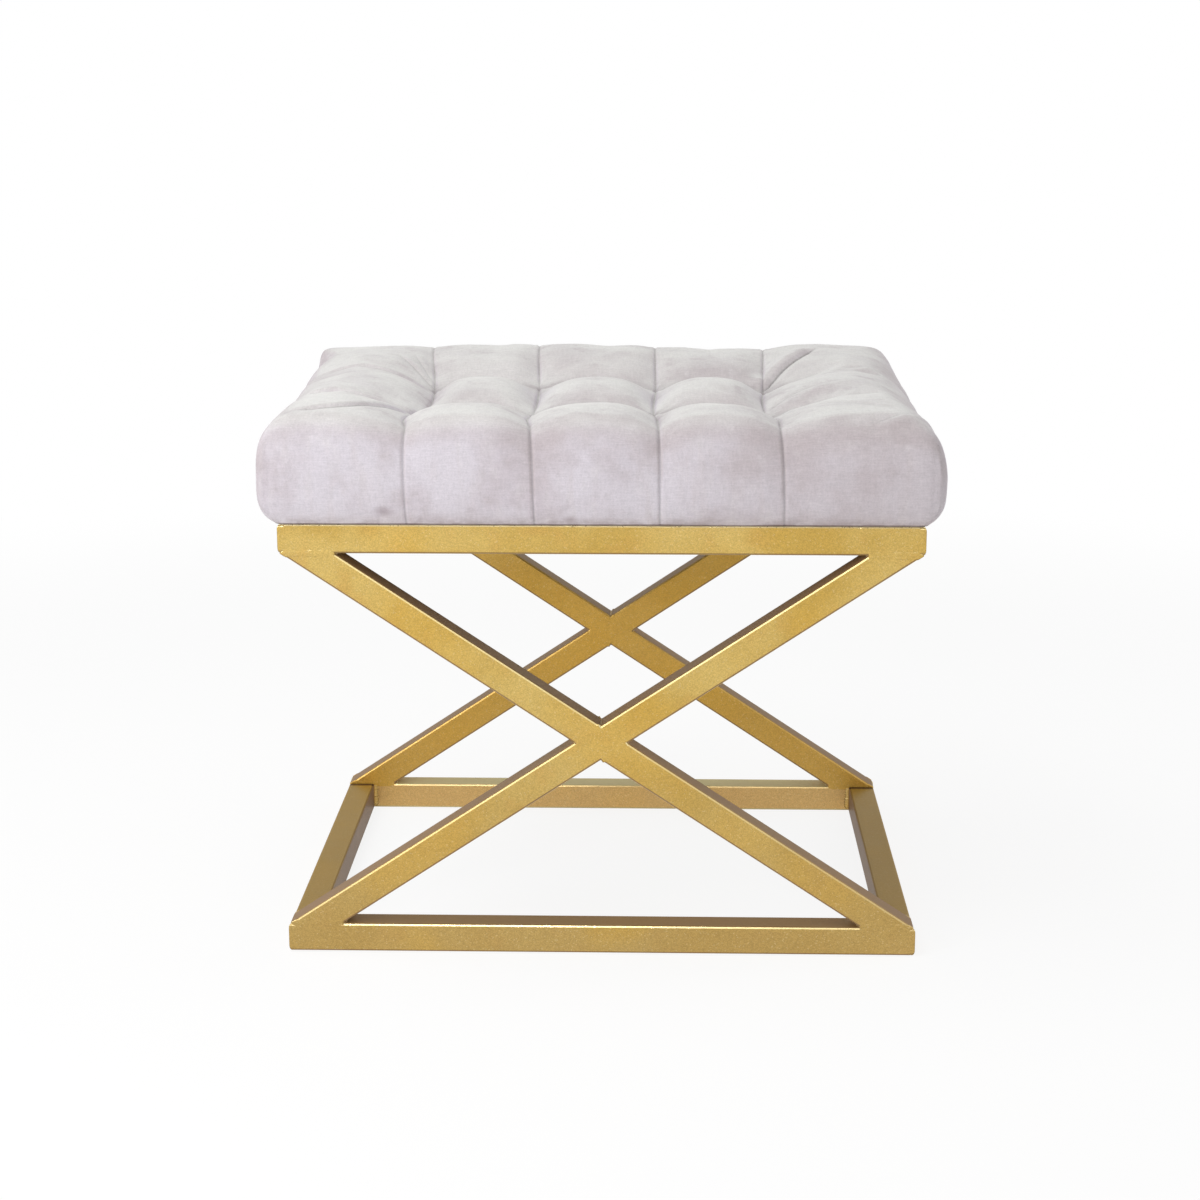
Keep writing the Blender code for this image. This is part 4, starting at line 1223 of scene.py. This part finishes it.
# The softboxes, as name: (place, what it is aimed at, size, power)
SOFTBOXES = {
    "sky_softbox": ((-0.8, -0.3, 1.9), (0, 0, 0.3), (1.8, 0.8), 15),
    "front_softbox": ((-0.3, -2.6, 1.1), (0, 0, 0.25), (0.6, 0.3), 10.3),
    "left_softbox": ((-1.15, -1.15, 0.8), (0, 0, 0.3), (0.7, 0.7), 7.5),
    "right_softbox": ((1.7, 0.3, 0.9), (0, 0, 0.3), (0.9, 0.9), 5),
}

# The room's strength as a light, the floor's own glow near the pouf, and half the floor's width
WHITE = (1.0, 1.0, 1.0, 1.0)
ROOM_LIGHT = 0.44
FLOOR_GLOW = 0.86
FLOOR_HALF = 40.0


def set_camera():
    """A camera at the photograph's place and angle."""
    data = bpy.data.cameras.new("camera")
    data.sensor_width = 36.0
    data.lens = CAMERA_LENS
    data.shift_y = CAMERA_SHIFT
    camera = bpy.data.objects.new("camera", data)
    camera.location = CAMERA_PLACE
    camera.rotation_euler = CAMERA_TURN
    bpy.context.scene.collection.objects.link(camera)
    bpy.context.scene.camera = camera


def softbox(name, place, aim, size, power):
    """A rectangular area lamp."""
    light = bpy.data.lights.new(name, "AREA")
    light.shape = "RECTANGLE"
    light.size, light.size_y = size
    light.energy = power
    lamp = bpy.data.objects.new(name, light)
    lamp.location = place
    lamp.rotation_euler = (Vector(aim) - Vector(place)).to_track_quat("-Z", "Y").to_euler()
    bpy.context.scene.collection.objects.link(lamp)


def seen_white(finish):
    """1 for rays that should find a white room: those of the camera, and those of reflections and glass."""
    rays = finish.node("ShaderNodeLightPath").socket.node.outputs
    kinds = ("Is Camera Ray", "Is Glossy Ray", "Is Transmission Ray")
    camera, glossy, through = (Tone(finish, rays[kind]) for kind in kinds)
    return camera.math("MAXIMUM", camera, glossy.math("MAXIMUM", glossy, through))


def studio():
    """A white room with softboxes: the world is white to look at and greyer as a light."""
    room = Finish("studio", "worlds")
    white = room.node("ShaderNodeBackground", None, {"Color": WHITE, "Strength": 1.0})
    light = room.node("ShaderNodeBackground", None, {"Color": WHITE, "Strength": ROOM_LIGHT})
    shader = room.node("ShaderNodeMixShader", None, {0: seen_white(room), 1: light, 2: white})
    bpy.context.scene.world = room.show(shader, "ShaderNodeOutputWorld")
    for name, values in SOFTBOXES.items():
        softbox(name, *values)


def white_floor():
    """A pale floor that keeps the pouf's soft shadow and fades into the white room."""
    finish = Finish("white_floor")
    matt = finish.node("ShaderNodeBsdfDiffuse", None, {"Color": (0.97, 0.97, 0.97, 1.0)})
    glow = finish.node("ShaderNodeEmission", None, {"Color": WHITE, "Strength": 1.0})
    x, y, _ = finish.parts(finish.place())
    far = (x * x + y * y).ramp(0.5, 3.0)
    share = seen_white(finish) * (FLOOR_GLOW + far * (1 - FLOOR_GLOW))
    material = finish.show(finish.node("ShaderNodeMixShader", None, {0: share, 1: matt, 2: glow}))
    bm = bmesh.new()
    just_below = Matrix.Translation((0, 0, -0.5 * MM))
    bmesh.ops.create_grid(bm, x_segments=1, y_segments=1, size=FLOOR_HALF, matrix=just_below)
    mesh = bpy.data.meshes.new("floor")
    bm.to_mesh(mesh)
    bm.free()
    mesh.materials.append(material)
    floor = bpy.data.objects.new("floor", mesh)
    bpy.context.scene.collection.objects.link(floor)


def finish_frame():
    """Paint on every tube, plate and weld of the frame."""
    # The colour and share after each paint's name give its painted shade, and on the rear rails its painted
    # reflection, on faces that look up
    brace = gold_paint("gold_paint_braces", rgb(136, 107, 80), 0.84)
    front = gold_paint("gold_paint_front_rails", rgb(136, 108, 74), 0.82, edge_highlight_strength=1.0)
    side = gold_paint("gold_paint_side_rails", rgb(136, 108, 40), 0.68, inner_shade_share=0.75)
    # The rear rails are drawn towards a painted reflection
    rear_rail_painted_reflection = {"painted_light_tone": rgb(214, 172, 112), "painted_light_tone_share": 0.5, "edge_highlight_strength": 0.6}
    rear = gold_paint("gold_paint_rear_rails", rgb(214, 206, 156), 0.8, **rear_rail_painted_reflection)
    # The rear braces are drawn towards a painted shade and get almost no painted highlight
    rear_brace_painted_shade = {"painted_light_tone": rgb(200, 154, 56), "painted_light_tone_share": 0.6, "edge_highlight_strength": 0.1}
    rear_brace = gold_paint("gold_paint_rear_braces", rgb(132, 106, 82), 0.84, **rear_brace_painted_shade)
    bead = gold_paint("gold_paint_beads", rgb(120, 84, 46), 0.6)
    for name in nodes:
        if name.endswith("brace"):
            keep_finish(rear_brace if name.startswith("rear") else brace, name)
        elif "side_rail" in name:
            keep_finish(side, name)
        elif name.startswith("rear"):
            keep_finish(rear, name)
        elif name.startswith("front"):
            keep_finish(front, name)
    for (place, direction), paint in zip(PANELS, (front, rear_brace)):
        flush_welds(place, direction, paint)
        inner_beads(place, direction, bead)
    side_rail_welds(bead)


def finish_inside():
    """Finishes of what is inside the seat."""
    keep_finish(plywood(), "seat_board")
    fleece = plain_fabric("white_fleece", rgb(240, 240, 236), rgb(214, 214, 208), 500.0, 0.3 * MM)
    keep_finish(fleece, "wadding")
    foam = plain_fabric("cream_foam", rgb(232, 226, 196), rgb(206, 196, 158), 900.0, 0.2 * MM)
    keep_finish(foam, "foam_pad")
    under_cloth(plain_fabric("black_spunbond", rgb(34, 34, 35), rgb(18, 18, 19), 700.0, 0.15 * MM))
    twine = plain_fabric("waxed_twine", rgb(226, 218, 198), rgb(184, 172, 146), 1200.0, 0.1 * MM)
    metal = zinc()
    staples(metal)
    for name in nodes:
        if name.startswith("tuft_tie"):
            keep_finish(twine, name)
        elif name.startswith(("tuft_washer", "seat_screw")):
            keep_finish(metal, name)


scene = bpy.context.scene
scene.view_settings.view_transform = "Standard"
set_camera()
studio()
white_floor()
finish_frame()
finish_inside()
seat_cushion(velvet())
